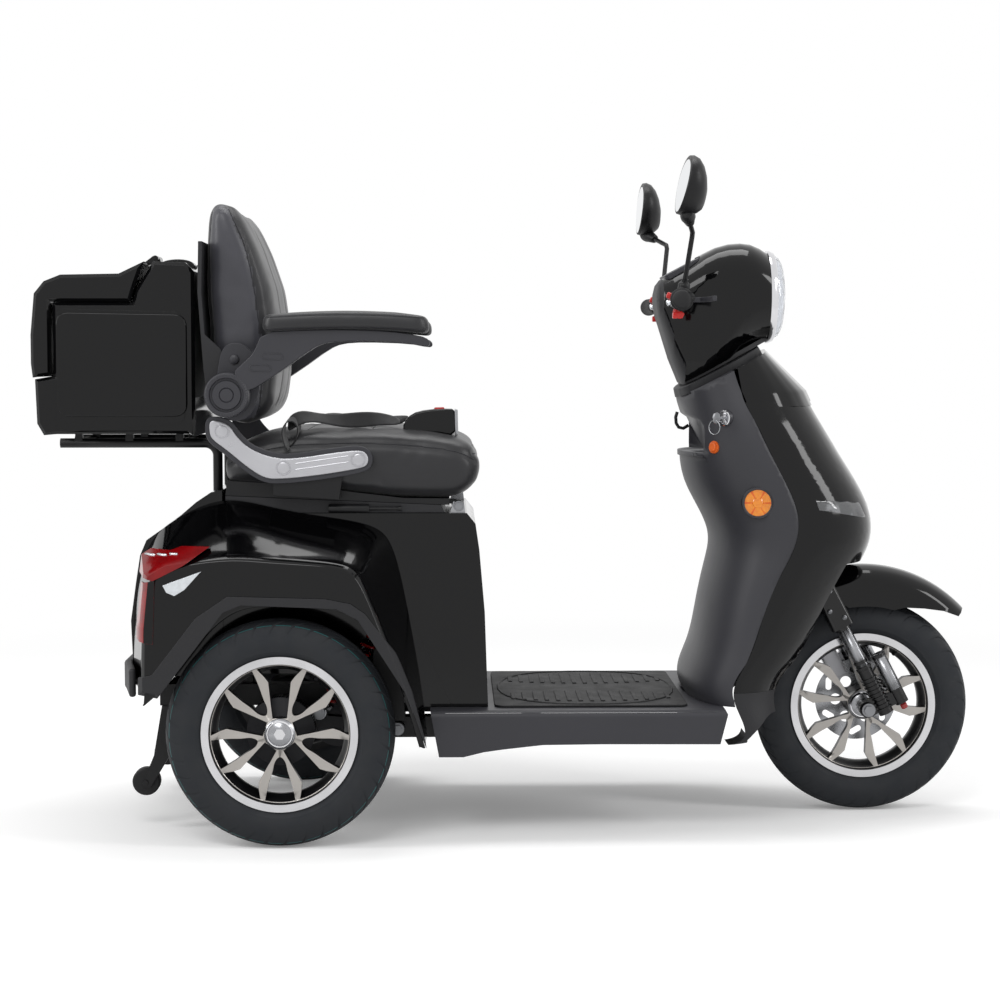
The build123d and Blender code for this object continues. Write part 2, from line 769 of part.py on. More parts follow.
with BuildPart() as fairing_trim:
    add(fairing_shell.part)
    split(bisect_by=level_plane(trim_top - seat_gap), keep=Keep.BOTTOM)
save(fairing_trim.part, "fairing_trim")

light_bar_low = 577.0
light_bar_high = 610.0
with BuildPart() as front_light_bar:
    with BuildSketch(level_plane(light_bar_low)):
        with Locations((700, 0)):
            Rectangle(190, 360)
    extrude(amount=light_bar_high - light_bar_low)
    add(front_body(-3, 0, True), mode=Mode.INTERSECT)
    add(front_body(-seat_gap, 0, True), mode=Mode.SUBTRACT)
save(front_light_bar.part, "front_light_bar")

lock_out = Vector(-0.72, -0.69, 0).normalized()
lock_base = spot(418, -163, 771)
lock_radius = 15.0
reflector_radius = 27.5
reflector_place = (474, 614)
shield_bottom = deck_level + seat_gap
pocket_half = 130.0
pocket_rim = 704.0
pocket_back = 408.0
# side outline of the sloped face in the recess over the pocket's rim
pocket_face = [(pocket_back, pocket_rim), (375, 765), (358, 775), (345, 802)]

with BuildPart() as pocket_block:
    with BuildSketch(side_plane()):
        Polygon(
            (300, pocket_rim - wall), (pocket_back + wall, pocket_rim - wall),
            *[(station + wall, height + wall / 2) for station, height in pocket_face], (300, 804),
        )
    extrude(amount=pocket_half, both=True)
    add(front_body(0, 0, False, panel_gap), mode=Mode.INTERSECT)

with BuildPart() as pocket_lip:
    with BuildSketch(level_plane(pocket_rim - 9)):
        with Locations((350, 0)):
            Rectangle(130, 2 * pocket_half + 8)
    extrude(amount=9)
    add(front_body(-4, 0, False), mode=Mode.INTERSECT)
    add(front_body(wall, 12, False), mode=Mode.SUBTRACT)

with BuildPart() as leg_shield:
    add(front_body(0, 0, False, panel_gap))
    add(front_hollow(False), mode=Mode.SUBTRACT)
    add(pocket_block.part)
    with BuildSketch(side_plane()):
        Polygon((250, pocket_rim), *pocket_face, (250, 802))
    extrude(amount=pocket_half - wall, both=True, mode=Mode.SUBTRACT)
    add(pocket_lip.part)
    with BuildSketch(steer_plane(cap_top)):
        Rectangle(800, 800)
    extrude(amount=300, mode=Mode.SUBTRACT)
    with BuildSketch(steer_plane(cap_top - 40)):
        Circle(stem_hole)
    extrude(amount=80, mode=Mode.SUBTRACT)
    with BuildSketch(level_plane(100)):
        with Locations((300, 0)):
            Rectangle(600, 600)
    extrude(amount=shield_bottom - 100, mode=Mode.SUBTRACT)
    with BuildSketch(side_plane()):
        with Locations(reflector_place):
            Circle(reflector_radius + seat_gap)
    extrude(amount=260, both=True, mode=Mode.SUBTRACT)
    with BuildSketch(Plane(origin=lock_base - lock_out * 25, z_dir=lock_out)):
        Circle(lock_radius + seat_gap)
    extrude(amount=50, mode=Mode.SUBTRACT)
    add(front_body(-seat_gap, 0, True), mode=Mode.SUBTRACT)
save(leg_shield.part, "leg_shield")

with BuildPart() as side_reflectors:
    for side in (-1, 1):
        with BuildSketch(side_plane(side * 168)):
            with Locations(reflector_place):
                Circle(reflector_radius)
        extrude(amount=-side * 30)
save(side_reflectors.part, "side_reflectors")

# ---- ignition lock on the leg shield ----
with BuildPart() as ignition_lock:
    for start, stop, radius in ((-20, 8, lock_radius), (8, 12, 10), (12, 20, 3)):
        with BuildSketch(Plane(origin=lock_base + lock_out * start, z_dir=lock_out)):
            Circle(radius)
        extrude(amount=stop - start)
    with BuildSketch(Plane(origin=lock_base + lock_out * 20, x_dir=(0, 0, 1), z_dir=lock_out)):
        RectangleRounded(26, 9, 4)
    extrude(amount=30)
save(ignition_lock.part, "ignition_lock")

# ---- luggage rack and trunk ----
rack_level = trunk_floor - rack_radius - seat_gap
with BuildPart() as carrier_rack:
    for side in (-1, 1):
        with BuildLine() as rack_line:
            FilletPolyline(
                spot(-830, side * rack_half, rack_level),
                spot(rack_leg_station, side * rack_half, rack_level),
                spot(rack_leg_station, side * rack_half, rail_top + kick_up + seat_gap),
                radius=24,
            )
        with BuildSketch(Plane(origin=rack_line.line @ 0, z_dir=rack_line.line % 0)):
            Circle(rack_radius)
        sweep(path=rack_line.line)
    for station in (-800, -600):
        with BuildSketch(side_plane()):
            with Locations((station, rack_level)):
                Circle(rack_radius - 1)
        extrude(amount=rack_half, both=True)
save(carrier_rack.part, "carrier_rack")

trunk_front = -562.0
lid_gap = 1.5
lid_hinge = (-642.0, 1066.0)
base_line = [
    (trunk_front, 740), (trunk_front, 1040), (-578, 1056), (-636, 1058), (-668, 1006),
    (-674, trunk_seam - lid_gap), (-819, trunk_seam - lid_gap), (-819, 850), (-853, 844),
    (-850, 763), (-838, 742), (-815, trunk_floor), (trunk_front - 12, trunk_floor),
]
lid_line = [
    (-653, 1058), (-699, 1036), (-805, 1034), (-835, 1022), (-853, 1000), (-860, 925), (-860, 872), (-857, 847),
    (-823, 852), (-823, trunk_seam), (-678, trunk_seam), (-671, 1008),
]
with BuildPart() as trunk_base:
    with BuildSketch(side_plane()):
        Polygon(*base_line)
    extrude(amount=trunk_half_width, both=True)
    chamfer(trunk_base.faces().sort_by(Axis.Y)[0].edges(), 6)
    chamfer(trunk_base.faces().sort_by(Axis.Y)[-1].edges(), 6)
    with BuildSketch(side_plane()):
        Polygon(*inset(base_line, wall))
        Polygon((-680, 900), (-680, 1000), (-819 + wall, 1000), (-819 + wall, 900))
    extrude(amount=trunk_half_width - 7, both=True, mode=Mode.SUBTRACT)
    for side in (-1, 1):
        with BuildSketch(side_plane(side * trunk_half_width)) as side_panel:
            Polygon((-812, 972), (-583, 966), (-580, 765), (-812, 747))
            fillet(side_panel.vertices(), 16)
        extrude(amount=-side * 4)
        with BuildSketch(side_plane(side * 120)):
            with Locations(lid_hinge):
                Circle(6)
            Polygon((-642, 1050), (-630, 1050), (-636, 1068), (-644, 1068))
        extrude(amount=15, both=True)
        with BuildSketch(side_plane(side * 120)):
            with Locations(lid_hinge):
                Circle(2.5)
        extrude(amount=32, both=True)
save(trunk_base.part, "trunk_base")

with BuildPart() as trunk_lid:
    with BuildSketch(side_plane()):
        Polygon(*lid_line)
    extrude(amount=trunk_half_width, both=True)
    chamfer(trunk_lid.faces().sort_by(Axis.Y)[0].edges(), 6)
    chamfer(trunk_lid.faces().sort_by(Axis.Y)[-1].edges(), 6)
    with BuildSketch(side_plane()):
        Polygon(*inset(lid_line, wall))
        Polygon((-684, 960), (-684, 1000), (-819, 1000), (-819, 960))
        Polygon((-819, 840), (-819, 1000), (-853, 960), (-850, 840))
    extrude(amount=trunk_half_width - 7, both=True, mode=Mode.SUBTRACT)
    for side in (-1, 1):
        for offset in (-24, 24):
            with BuildSketch(side_plane(side * 120 + offset)):
                with Locations(lid_hinge):
                    Circle(6)
                Polygon((-642, 1060), (-648, 1056), (-668, 1046), (-668, 1054), (-646, 1071))
                with Locations(lid_hinge):
                    Circle(2.5 + running_clearance, mode=Mode.SUBTRACT)
            extrude(amount=7, both=True)
save(trunk_lid.part, "trunk_lid")

with BuildPart() as trunk_reflector:
    with BuildSketch(cross_plane(rear_end_station)):
        with Locations((0, 900)):
            Circle(20)
    extrude(amount=-860 - seat_gap - rear_end_station)
save(trunk_reflector.part, "trunk_reflector")

# ---- fork ----
leg_foot = -24.0
fender_half = 56.0
sleeve_half = leg_spacing / 2 - fender_half - seat_gap
clamp_half = 28.0
with BuildPart() as fork:
    with BuildSketch(steer_plane(shroud_top - yoke_height)):
        RectangleRounded(56, leg_spacing + 2 * sleeve_half, 12)
    extrude(amount=yoke_height)
    with BuildSketch(steer_plane(shroud_top)):
        Circle(stem_radius)
    extrude(amount=bar_along - 15 - shroud_top)
    with BuildSketch(leaning_side_plane()):
        with Locations((0, bar_along)):
            Circle(18)
    extrude(amount=clamp_half, both=True)
    with BuildSketch(leaning_side_plane()):
        with Locations((0, bar_along)):
            Circle(bar_radius + running_clearance)
    extrude(amount=clamp_half + 5, both=True, mode=Mode.SUBTRACT)
    for side in (-1, 1):
        with BuildSketch(steer_plane(damper_top, side=side * leg_spacing / 2)):
            RectangleRounded(44, 2 * sleeve_half, 8)
        extrude(amount=shroud_top - yoke_height - damper_top)
        with BuildSketch(steer_plane(leg_foot, side=side * leg_spacing / 2)):
            Circle(leg_radius)
        extrude(amount=lower_leg_top - leg_foot)
        # lug behind each leg that holds the axle
        with BuildSketch(leaning_side_plane(side * leg_spacing / 2)):
            with Locations((-fork_lead / 2, 0)):
                SlotCenterToCenter(fork_lead, 32)
        extrude(amount=8, both=True)
        # base of the damping reservoir ahead of each leg
        with BuildSketch(steer_plane(-20, ahead=36, side=side * leg_spacing / 2)):
            Circle(13)
        extrude(amount=31)
        with BuildSketch(steer_plane(-16, ahead=18, side=side * leg_spacing / 2)):
            Rectangle(30, 16)
        extrude(amount=24)
    with BuildSketch(side_plane()):
        with Locations((front_axle_station, wheel_radius)):
            Circle(front_shaft_radius)
    extrude(amount=leg_spacing / 2 + 16, both=True)
    # spacers between the hub and the legs
    for side, hub_end in ((-1, rim_width / 2 - spoke_recess + 5), (1, rim_width / 2 + 15)):
        with BuildSketch(side_plane(side * (hub_end + 1))):
            with Locations((front_axle_station, wheel_radius)):
                Circle(12)
        extrude(amount=-side * (leg_spacing / 2 - 8 - hub_end - 1))
save(fork.part, "fork")

with BuildPart() as fork_dampers:
    for side in (-1, 1):
        with BuildSketch(steer_plane(lower_leg_top, side=side * leg_spacing / 2)):
            Circle(damper_radius)
        extrude(amount=damper_top - lower_leg_top)
        with BuildSketch(steer_plane(11, ahead=36, side=side * leg_spacing / 2)):
            Circle(13.5)
        extrude(amount=75)
save(fork_dampers.part, "fork_dampers")

# ---- front fender ----
fender_radius = 274.0
fender_start = 44.0
fender_sweep = 82.0
fender_profile = [
    (196, fender_half), (242, fender_half - 2), (261, 40), (271, 20), (fender_radius, 0),
    (271, -20), (261, -40), (242, -fender_half + 2), (196, -fender_half),
]
start_out = Vector(cos(radians(fender_start)), 0, sin(radians(fender_start)))
fender_plane = Plane(
    origin=front_centre, x_dir=start_out, z_dir=(-sin(radians(fender_start)), 0, cos(radians(fender_start)))
)
with BuildPart() as front_fender:
    with BuildSketch(fender_plane):
        Polygon(*fender_profile)
        Polygon(*inset([(150, fender_half), *fender_profile, (150, -fender_half)], 3.5), mode=Mode.SUBTRACT)
    revolve(axis=Axis(front_centre, (0, -1, 0)), revolution_arc=fender_sweep)
    with BuildSketch(side_plane()):
        Polygon(
            (500, 0), (500, 400), (640, 420), (700, 385), (743, 392), (781, 401), (819, 399),
            (857, 394), (950, 360), (950, 0),
        )
    extrude(amount=fender_half + 5, both=True, mode=Mode.SUBTRACT)
save(front_fender.part, "front_fender")

with BuildPart() as brake_caliper:
    with BuildSketch(steer_plane(57, ahead=-37, side=48)):
        RectangleRounded(34, 22, 5)
    extrude(amount=52)
    with BuildSketch(Plane(origin=front_centre + Vector(0, disc_back - 1, 0), z_dir=(0, 1, 0))):
        Circle(disc_radius + 2)
    extrude(amount=6.5, mode=Mode.SUBTRACT)
    with BuildSketch(steer_plane(70, ahead=-24, side=61)):
        Rectangle(24, 14)
    extrude(amount=26)
    with BuildSketch(steer_plane(50, side=leg_spacing / 2)):
        Circle(leg_radius + seat_gap)
    extrude(amount=70, mode=Mode.SUBTRACT)
save(brake_caliper.part, "brake_caliper")

# ---- handlebar, grips and levers ----
bar_spot = steer_spot(bar_along)
grip_start = bar_half - grip_length
with BuildPart() as handlebar:
    with BuildSketch(Plane(origin=bar_spot, x_dir=(1, 0, 0), z_dir=(0, -1, 0))):
        Circle(bar_radius)
    extrude(amount=bar_half - 6, both=True)
save(handlebar.part, "handlebar")

with BuildPart() as grips:
    for side in (-1, 1):
        grip_plane = Plane(origin=bar_spot + Vector(0, side * grip_start, 0), z_dir=(0, side, 0))
        with BuildSketch(grip_plane):
            Circle(grip_radius)
        extrude(amount=grip_length)
        with BuildSketch(grip_plane):
            Circle(grip_radius + 5)
        extrude(amount=5)
        with BuildSketch(grip_plane):
            Circle(bar_radius + running_clearance)
        extrude(amount=grip_length - 6 + running_clearance, mode=Mode.SUBTRACT)
save(grips.part, "grips")

clamp_plane = 190.0
with BuildPart() as brake_levers:
    for side in (-1, 1):
        with BuildSketch(Plane(origin=bar_spot + Vector(0, side * clamp_plane, 0), z_dir=(0, side, 0))):
            Circle(17)
            with Locations((0, 0)):
                Circle(bar_radius + running_clearance, mode=Mode.SUBTRACT)
        extrude(amount=grip_start - 2 - clamp_plane)
        with BuildSketch(Plane(origin=bar_spot + Vector(0, 0, -5), z_dir=(0, 0, 1))):
            Polygon(
                (12, side * clamp_plane), (42, side * (clamp_plane + 4)), (52, side * (grip_start + 18)),
                (52, side * (bar_half - 18)), (44, side * (bar_half - 18)), (44, side * (grip_start + 22)),
                (34, side * (grip_start - 3)), (12, side * (grip_start - 3)),
            )
        extrude(amount=9)
save(brake_levers.part, "brake_levers")

# ---- mirrors ----
mirror_side = 310.0
mirror_station = 348.0
mirror_height = 1190.0
mirror_lean = 12.0
with BuildPart() as mirrors:
    back = Vector(cos(radians(mirror_lean)), 0, -sin(radians(mirror_lean)))
    for side in (-1, 1):
        base = bar_spot + Vector(4, side * (clamp_plane + 8), 18 + seat_gap)
        knee = spot(346, side * (clamp_plane + 40), 1110)
        head = spot(mirror_station, side * mirror_side, mirror_height)
        tip = head + Vector(0, -side * 24, -34)
        with BuildSketch(Plane(origin=base, z_dir=(0, 0, 1))):
            Circle(9)
        extrude(amount=14)
        for start, stop in ((base, knee), (knee, tip)):
            way = (stop - start).normalized()
            with BuildSketch(Plane(origin=start, z_dir=way)):
                Circle(5)
            extrude(amount=(stop - start).length + 3)
        for offset, scale in ((-19, 0.95), (-13, 1.0), (0, 0.97), (13, 0.82), (23, 0.56), (30, 0.24)):
            with BuildSketch(Plane(origin=head + back * offset, x_dir=(0, 1, 0), z_dir=back)):
                Ellipse(62 * scale, 52 * scale)
        loft()
        # boot that joins the head to its stem
        boot_way = (head - tip).normalized()
        with BuildSketch(Plane(origin=tip - boot_way * 20, z_dir=boot_way)):
            Circle(7)
        extrude(amount=34, taper=-12)
save(mirrors.part, "mirrors")

# ---- handlebar cover with the headlamp and instruments ----
bar_station = bar_spot.X - station_zero
bar_level = bar_spot.Z
lamp_level = bar_level + 9.6
lamp_station = bar_station + 183.9
lamp_radius = 84.0
# (ahead of the bar, lowest and highest below and above it, half width, corner radius)
cover_sections = [
    (-31, -6, 16, 44, 10), (-27, -27, 32, 62, 28), (-19, -52, 43, 74, 44), (0, -112, 55, 86, 56),
    (22, -165, 68, 92, 64), (40, -168, 80, 95, 66), (58, -165, 91, 97, 66), (82, -148, 103, 99.5, 72),
    (107, -126, 110, 100, 78), (130, -98, 112, 99, 80), (150, -84, 110, 97, 81), (168, -77, 103, 94, 82),
    (183.9, -74, 93.2, 90, 82),
]


def cover_body(grow):
    with BuildPart() as body:
        for number, (ahead, low, high, half, corner) in enumerate(cover_sections):
            ends = grow if number == 0 else -grow if number == len(cover_sections) - 1 else 0
            with BuildSketch(cross_plane(bar_station + ahead + ends)):
                with Locations((0, bar_level + (low + high) / 2)):
                    RectangleRounded(2 * (half - grow), high - low - 2 * grow, corner - grow)
        loft(ruled=True)
    return body.part


dash_plane = Plane(
    origin=bar_spot + Vector(23, 0, 56), x_dir=(cos(radians(28)), 0, sin(radians(28))),
    z_dir=(-sin(radians(28)), 0, cos(radians(28))),
)
dash_length = 78.0
dash_width = 120.0
with BuildPart() as handlebar_cover:
    add(cover_body(0))
    add(cover_body(wall), mode=Mode.SUBTRACT)
    with BuildSketch(steer_plane(cover_seam)):
        Rectangle(900, 900)
    extrude(amount=-300, mode=Mode.SUBTRACT)
    with BuildSketch(Plane(origin=bar_spot, x_dir=(1, 0, 0), z_dir=(0, -1, 0))):
        Circle(bar_radius + seat_gap)
    extrude(amount=200, both=True, mode=Mode.SUBTRACT)
    with BuildSketch(dash_plane):
        RectangleRounded(dash_length + 2 * seat_gap, dash_width + 2 * seat_gap, 16)
    extrude(amount=60, both=True, mode=Mode.SUBTRACT)
save(handlebar_cover.part, "handlebar_cover")

with BuildPart() as instrument_panel:
    with BuildSketch(dash_plane):
        RectangleRounded(dash_length, dash_width, 16)
    extrude(amount=12)
save(instrument_panel.part, "instrument_panel")

with BuildPart() as headlamp_bezel:
    with BuildSketch(cross_plane(lamp_station + seat_gap)):
        with Locations((0, lamp_level)):
            Circle(lamp_radius + 5)
            Circle(lamp_radius - 3, mode=Mode.SUBTRACT)
    extrude(amount=7)
save(headlamp_bezel.part, "headlamp_bezel")

lens_depth = 35.0
lens_start = lamp_station + 7 + 2 * seat_gap
with BuildPart() as headlamp_lens:
    with BuildSketch(side_plane()):
        with BuildLine():
            dome = Spline(
                (lens_start, lamp_level + lamp_radius - 1), (lens_start + 18, lamp_level + 66),
                (lens_start + lens_depth - 8, lamp_level),
                tangents=[(1, -0.4), (0, -1)],
            )
            Polyline(dome @ 1, (lens_start, lamp_level), dome @ 0)
        make_face()
    revolve(axis=Axis(spot(0, 0, lamp_level), (1, 0, 0)))
save(headlamp_lens.part, "headlamp_lens")

# ---- seat ----
pan_top_line = lifted([(-507, 60), (-366, 53), (-274, 39), (-183, 28), (-98, 27)])
with BuildPart() as seat_hinges:
    for side in (-1, 1):
        for offset in (-16, 16):
            with BuildSketch(side_plane(side * hinge_plane + offset)):
                Polygon(
                    (tilt_station - 16, seat_box_top), (tilt_station + 12, seat_box_top),
                    (tilt_station + 10, tilt_height + 4), (tilt_station - 10, tilt_height + 8),
                )
            extrude(amount=2.5, both=True)
        with BuildSketch(side_plane(side * hinge_plane)):
            with Locations((tilt_station, tilt_height)):
                Circle(tilt_pin_radius)
        extrude(amount=23, both=True)
save(seat_hinges.part, "seat_hinges")

tab_plane = bracket_plane - seat_gap
with BuildPart() as seat_pan:
    with BuildSketch(side_plane()):
        Polygon(*pan_top_line, *lifted([(-98, 15), (-511, 33)]))
    extrude(amount=pan_half_width, both=True)
    for side in (-1, 1):
        with BuildSketch(side_plane(side * hinge_plane)):
            with Locations((tilt_station, tilt_height)):
                Circle(10)
            Polygon(
                (-100, tilt_height + 4), (-100, tilt_height + 12), (tilt_station, tilt_height + 10),
                (tilt_station, tilt_height + 2),
            )
            with Locations((tilt_station, tilt_height)):
                Circle(tilt_pin_radius + running_clearance, mode=Mode.SUBTRACT)
        extrude(amount=12, both=True)
        # upturned tab that the seat side bracket bolts to
        with BuildSketch(side_plane(side * (pan_half_width - 5))):
            Polygon(*lifted([(-420, 35), (-300, 27), (-300, 35), (-420, 43)]))
        extrude(amount=-side * (tab_plane - pan_half_width + 5))
        with BuildSketch(side_plane(side * (tab_plane - 5))):
            Polygon(*lifted([(-420, 35), (-300, 27), (-290, 93), (-420, 93)]))
        extrude(amount=-side * 5)
save(seat_pan.part, "seat_pan")


def soft_body(line, half, shoulder, tuck):
    # a cushion between side outlines, drawn in towards its sides
    with BuildPart() as body:
        for y, amount in ((-half, tuck), (-half + shoulder, 0), (half - shoulder, 0), (half, tuck)):
            with BuildSketch(side_plane(y)):
                Polygon(*inset(line, amount))
        loft(ruled=True)
    return body.part


cushion_line = [(x, z + seat_gap) for x, z in pan_top_line] + lifted([
    (-70, 35), (-46, 67), (-42, 93), (-58, 130), (-82, 141), (-128, 149), (-219, 157), (-366, 155),
    (-439, 145), (-480, 131), (-500, 115), (-512, 93),
])
save(soft_body(cushion_line, cushion_half_width, 26, 20), "seat_cushion")

bracket_line = lifted([
    (-535, 174), (-536, 145), (-506, 119), (-473, 85), (-433, 63), (-391, 59), (-255, 88),
    (-236, 108), (-245, 128), (-273, 130), (-364, 112), (-418, 116), (-455, 136), (-474, 167),
]) + [
    (recliner_station + 30, recliner_height), (recliner_station, recliner_height + 30),
    (recliner_station - 30, recliner_height),
]
plate_inner = bracket_plane - 12
plate_thickness = 8.0
with BuildPart() as side_brackets:
    for side in (-1, 1):
        with BuildSketch(side_plane(side * bracket_plane)):
            Polygon(*bracket_line)
        extrude(amount=-side * bracket_thickness)
        with BuildSketch(side_plane(side * (plate_inner - 4))):
            with Locations((recliner_station, recliner_height)):
                Circle(recliner_pin_radius)
        extrude(amount=-side * 60)
save(side_brackets.part, "side_brackets")

# ---- backrest ----
shell_thickness = 7.0
shell_line = lifted([(-553, 497), (-555, 405), (-546, 276), (-537, 209)])
with BuildPart() as backrest_frame:
    for side in (-1, 1):
        with BuildSketch(side_plane(side * plate_inner)):
            with Locations((recliner_station, recliner_height)):
                Circle(26)
            Polygon(
                (recliner_station - 6, recliner_height - 20), (recliner_station + 22, recliner_height),
                *lifted([(-515, 303), (-548, 333), (-545, 263), (-537, 209)]),
            )
            with Locations((recliner_station, recliner_height)):
                Circle(recliner_pin_radius + running_clearance, mode=Mode.SUBTRACT)
        extrude(amount=-side * plate_thickness)
    with BuildSketch(side_plane()):
        Polygon(
            *shell_line, *[(x + shell_thickness, z) for x, z in reversed(shell_line)]
        )
    extrude(amount=plate_inner + plate_thickness, both=True)
save(backrest_frame.part, "backrest_frame")

cushion_front_line = lifted([
    (-545, 503), (-541, 569), (-511, 569), (-487, 543), (-456, 488), (-426, 414), (-417, 359),
    (-412, 258), (-419, 203), (-432, 181), (-468, 165), (-500, 169), (-527, 203), (-538, 276),
    (-547, 405),
])
save(soft_body(cushion_front_line, backrest_half_width, 26, 16), "backrest_cushion")

# ---- armrests ----
arm_inner_plane = bracket_plane + bracket_thickness + 3
arm_outer_plane = arm_inner_plane + 36
pad_middle = (arm_inner_plane + arm_outer_plane) / 2 + 2
pad_half = 30.0
pad_seam = recliner_height + 118.0
for name, side in sides.items():
    with BuildPart() as arm:
        with BuildSketch(side_plane(side * arm_inner_plane)):
            with Locations((recliner_station, recliner_height)):
                Circle(44)
        extrude(amount=-side * (arm_outer_plane - arm_inner_plane))
        with BuildSketch(side_plane(side * (arm_inner_plane + 5))):
            Polygon(*lifted([
                (-431, 337), (-426, 315), (-431, 303), (-487, 259), (-464, 221), (-402, 259),
                (-326, 310), (-272, 315), (-181, 315), (-138, 309), (-132, 321), (-136, 337),
            ]))
        extrude(amount=-side * 26)
        with BuildSketch(side_plane(side * (arm_inner_plane - 1))):
            with Locations((recliner_station, recliner_height)):
                Circle(recliner_pin_radius + running_clearance)
        extrude(amount=-side * 40, mode=Mode.SUBTRACT)
    save(arm.part, f"armrest_arm_{name}")
    with BuildPart() as pad:
        with BuildSketch(level_plane(pad_seam + seat_gap)):
            with Locations((-284, side * pad_middle)):
                RectangleRounded(300, 2 * pad_half, 24)
        extrude(amount=34 - seat_gap, taper=4)
    save(pad.part, f"armrest_pad_{name}")

# ---- seat belt, laid over the cushion ----
belt_side = -150.0
with BuildPart() as seat_belt:
    with BuildSketch(side_plane(belt_side)):
        Polygon(*lifted([
            (-400, 156), (-366, 155.6), (-219, 157.6), (-200, 156), (-200, 160), (-219, 161.6), (-400, 160)
        ]))
    extrude(amount=22, both=True)
    with BuildSketch(side_plane(belt_side)):
        Polygon(*lifted([
            (-200, 156.2), (-128, 150), (-84, 142.5), (-86, 191), (-130, 193), (-200, 167),
        ]))
    extrude(amount=16, both=True)
save(seat_belt.part, "seat_belt")
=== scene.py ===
import bpy
import bmesh
import json
import math
from mathutils import Matrix, Vector, kdtree
from mathutils.bvhtree import BVHTree
from mathutils.geometry import convex_hull_2d

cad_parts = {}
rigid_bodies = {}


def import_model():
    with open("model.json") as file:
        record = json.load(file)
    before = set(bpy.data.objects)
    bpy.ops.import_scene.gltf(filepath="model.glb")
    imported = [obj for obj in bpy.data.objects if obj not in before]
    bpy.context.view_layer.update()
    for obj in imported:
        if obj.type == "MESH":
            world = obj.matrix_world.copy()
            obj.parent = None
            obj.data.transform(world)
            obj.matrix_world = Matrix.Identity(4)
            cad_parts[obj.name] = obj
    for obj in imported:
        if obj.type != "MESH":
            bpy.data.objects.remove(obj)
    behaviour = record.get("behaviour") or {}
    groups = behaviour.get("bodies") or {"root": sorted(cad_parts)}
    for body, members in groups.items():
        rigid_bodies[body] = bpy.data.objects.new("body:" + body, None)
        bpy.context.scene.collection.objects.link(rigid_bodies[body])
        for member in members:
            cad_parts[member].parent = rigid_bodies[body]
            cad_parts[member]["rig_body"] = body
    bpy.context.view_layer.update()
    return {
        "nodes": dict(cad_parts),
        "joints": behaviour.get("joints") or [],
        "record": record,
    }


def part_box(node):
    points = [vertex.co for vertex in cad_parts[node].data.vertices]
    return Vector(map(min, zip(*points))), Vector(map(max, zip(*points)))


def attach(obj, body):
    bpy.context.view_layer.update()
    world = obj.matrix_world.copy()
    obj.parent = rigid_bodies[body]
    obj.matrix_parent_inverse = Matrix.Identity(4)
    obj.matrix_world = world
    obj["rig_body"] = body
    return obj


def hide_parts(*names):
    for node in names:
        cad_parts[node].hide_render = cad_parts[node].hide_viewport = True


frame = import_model()
nodes = frame["nodes"]
print("frame loaded,", len(nodes), "nodes")


def linear(hexColour):
    # sRGB hex to the linear values that the shader takes
    parts = [int(hexColour[i:i + 2], 16) / 255 for i in (0, 2, 4)]
    return [c / 12.92 if c <= 0.04045 else ((c + 0.055) / 1.055) ** 2.4 for c in parts] + [1.0]


def fill(tree, node, settings=None, links=None):
    # a node's settings, by input or by property name, and its incoming links
    for name, value in (settings or {}).items():
        if isinstance(name, int) or name in node.inputs:
            node.inputs[name].default_value = value
        else:
            setattr(node, name, value)
    for name, socket in (links or {}).items():
        tree.links.new(socket, node.inputs[name])
    return node


def addNode(tree, kind, settings=None, links=None):
    return fill(tree, tree.nodes.new(kind), settings, links)


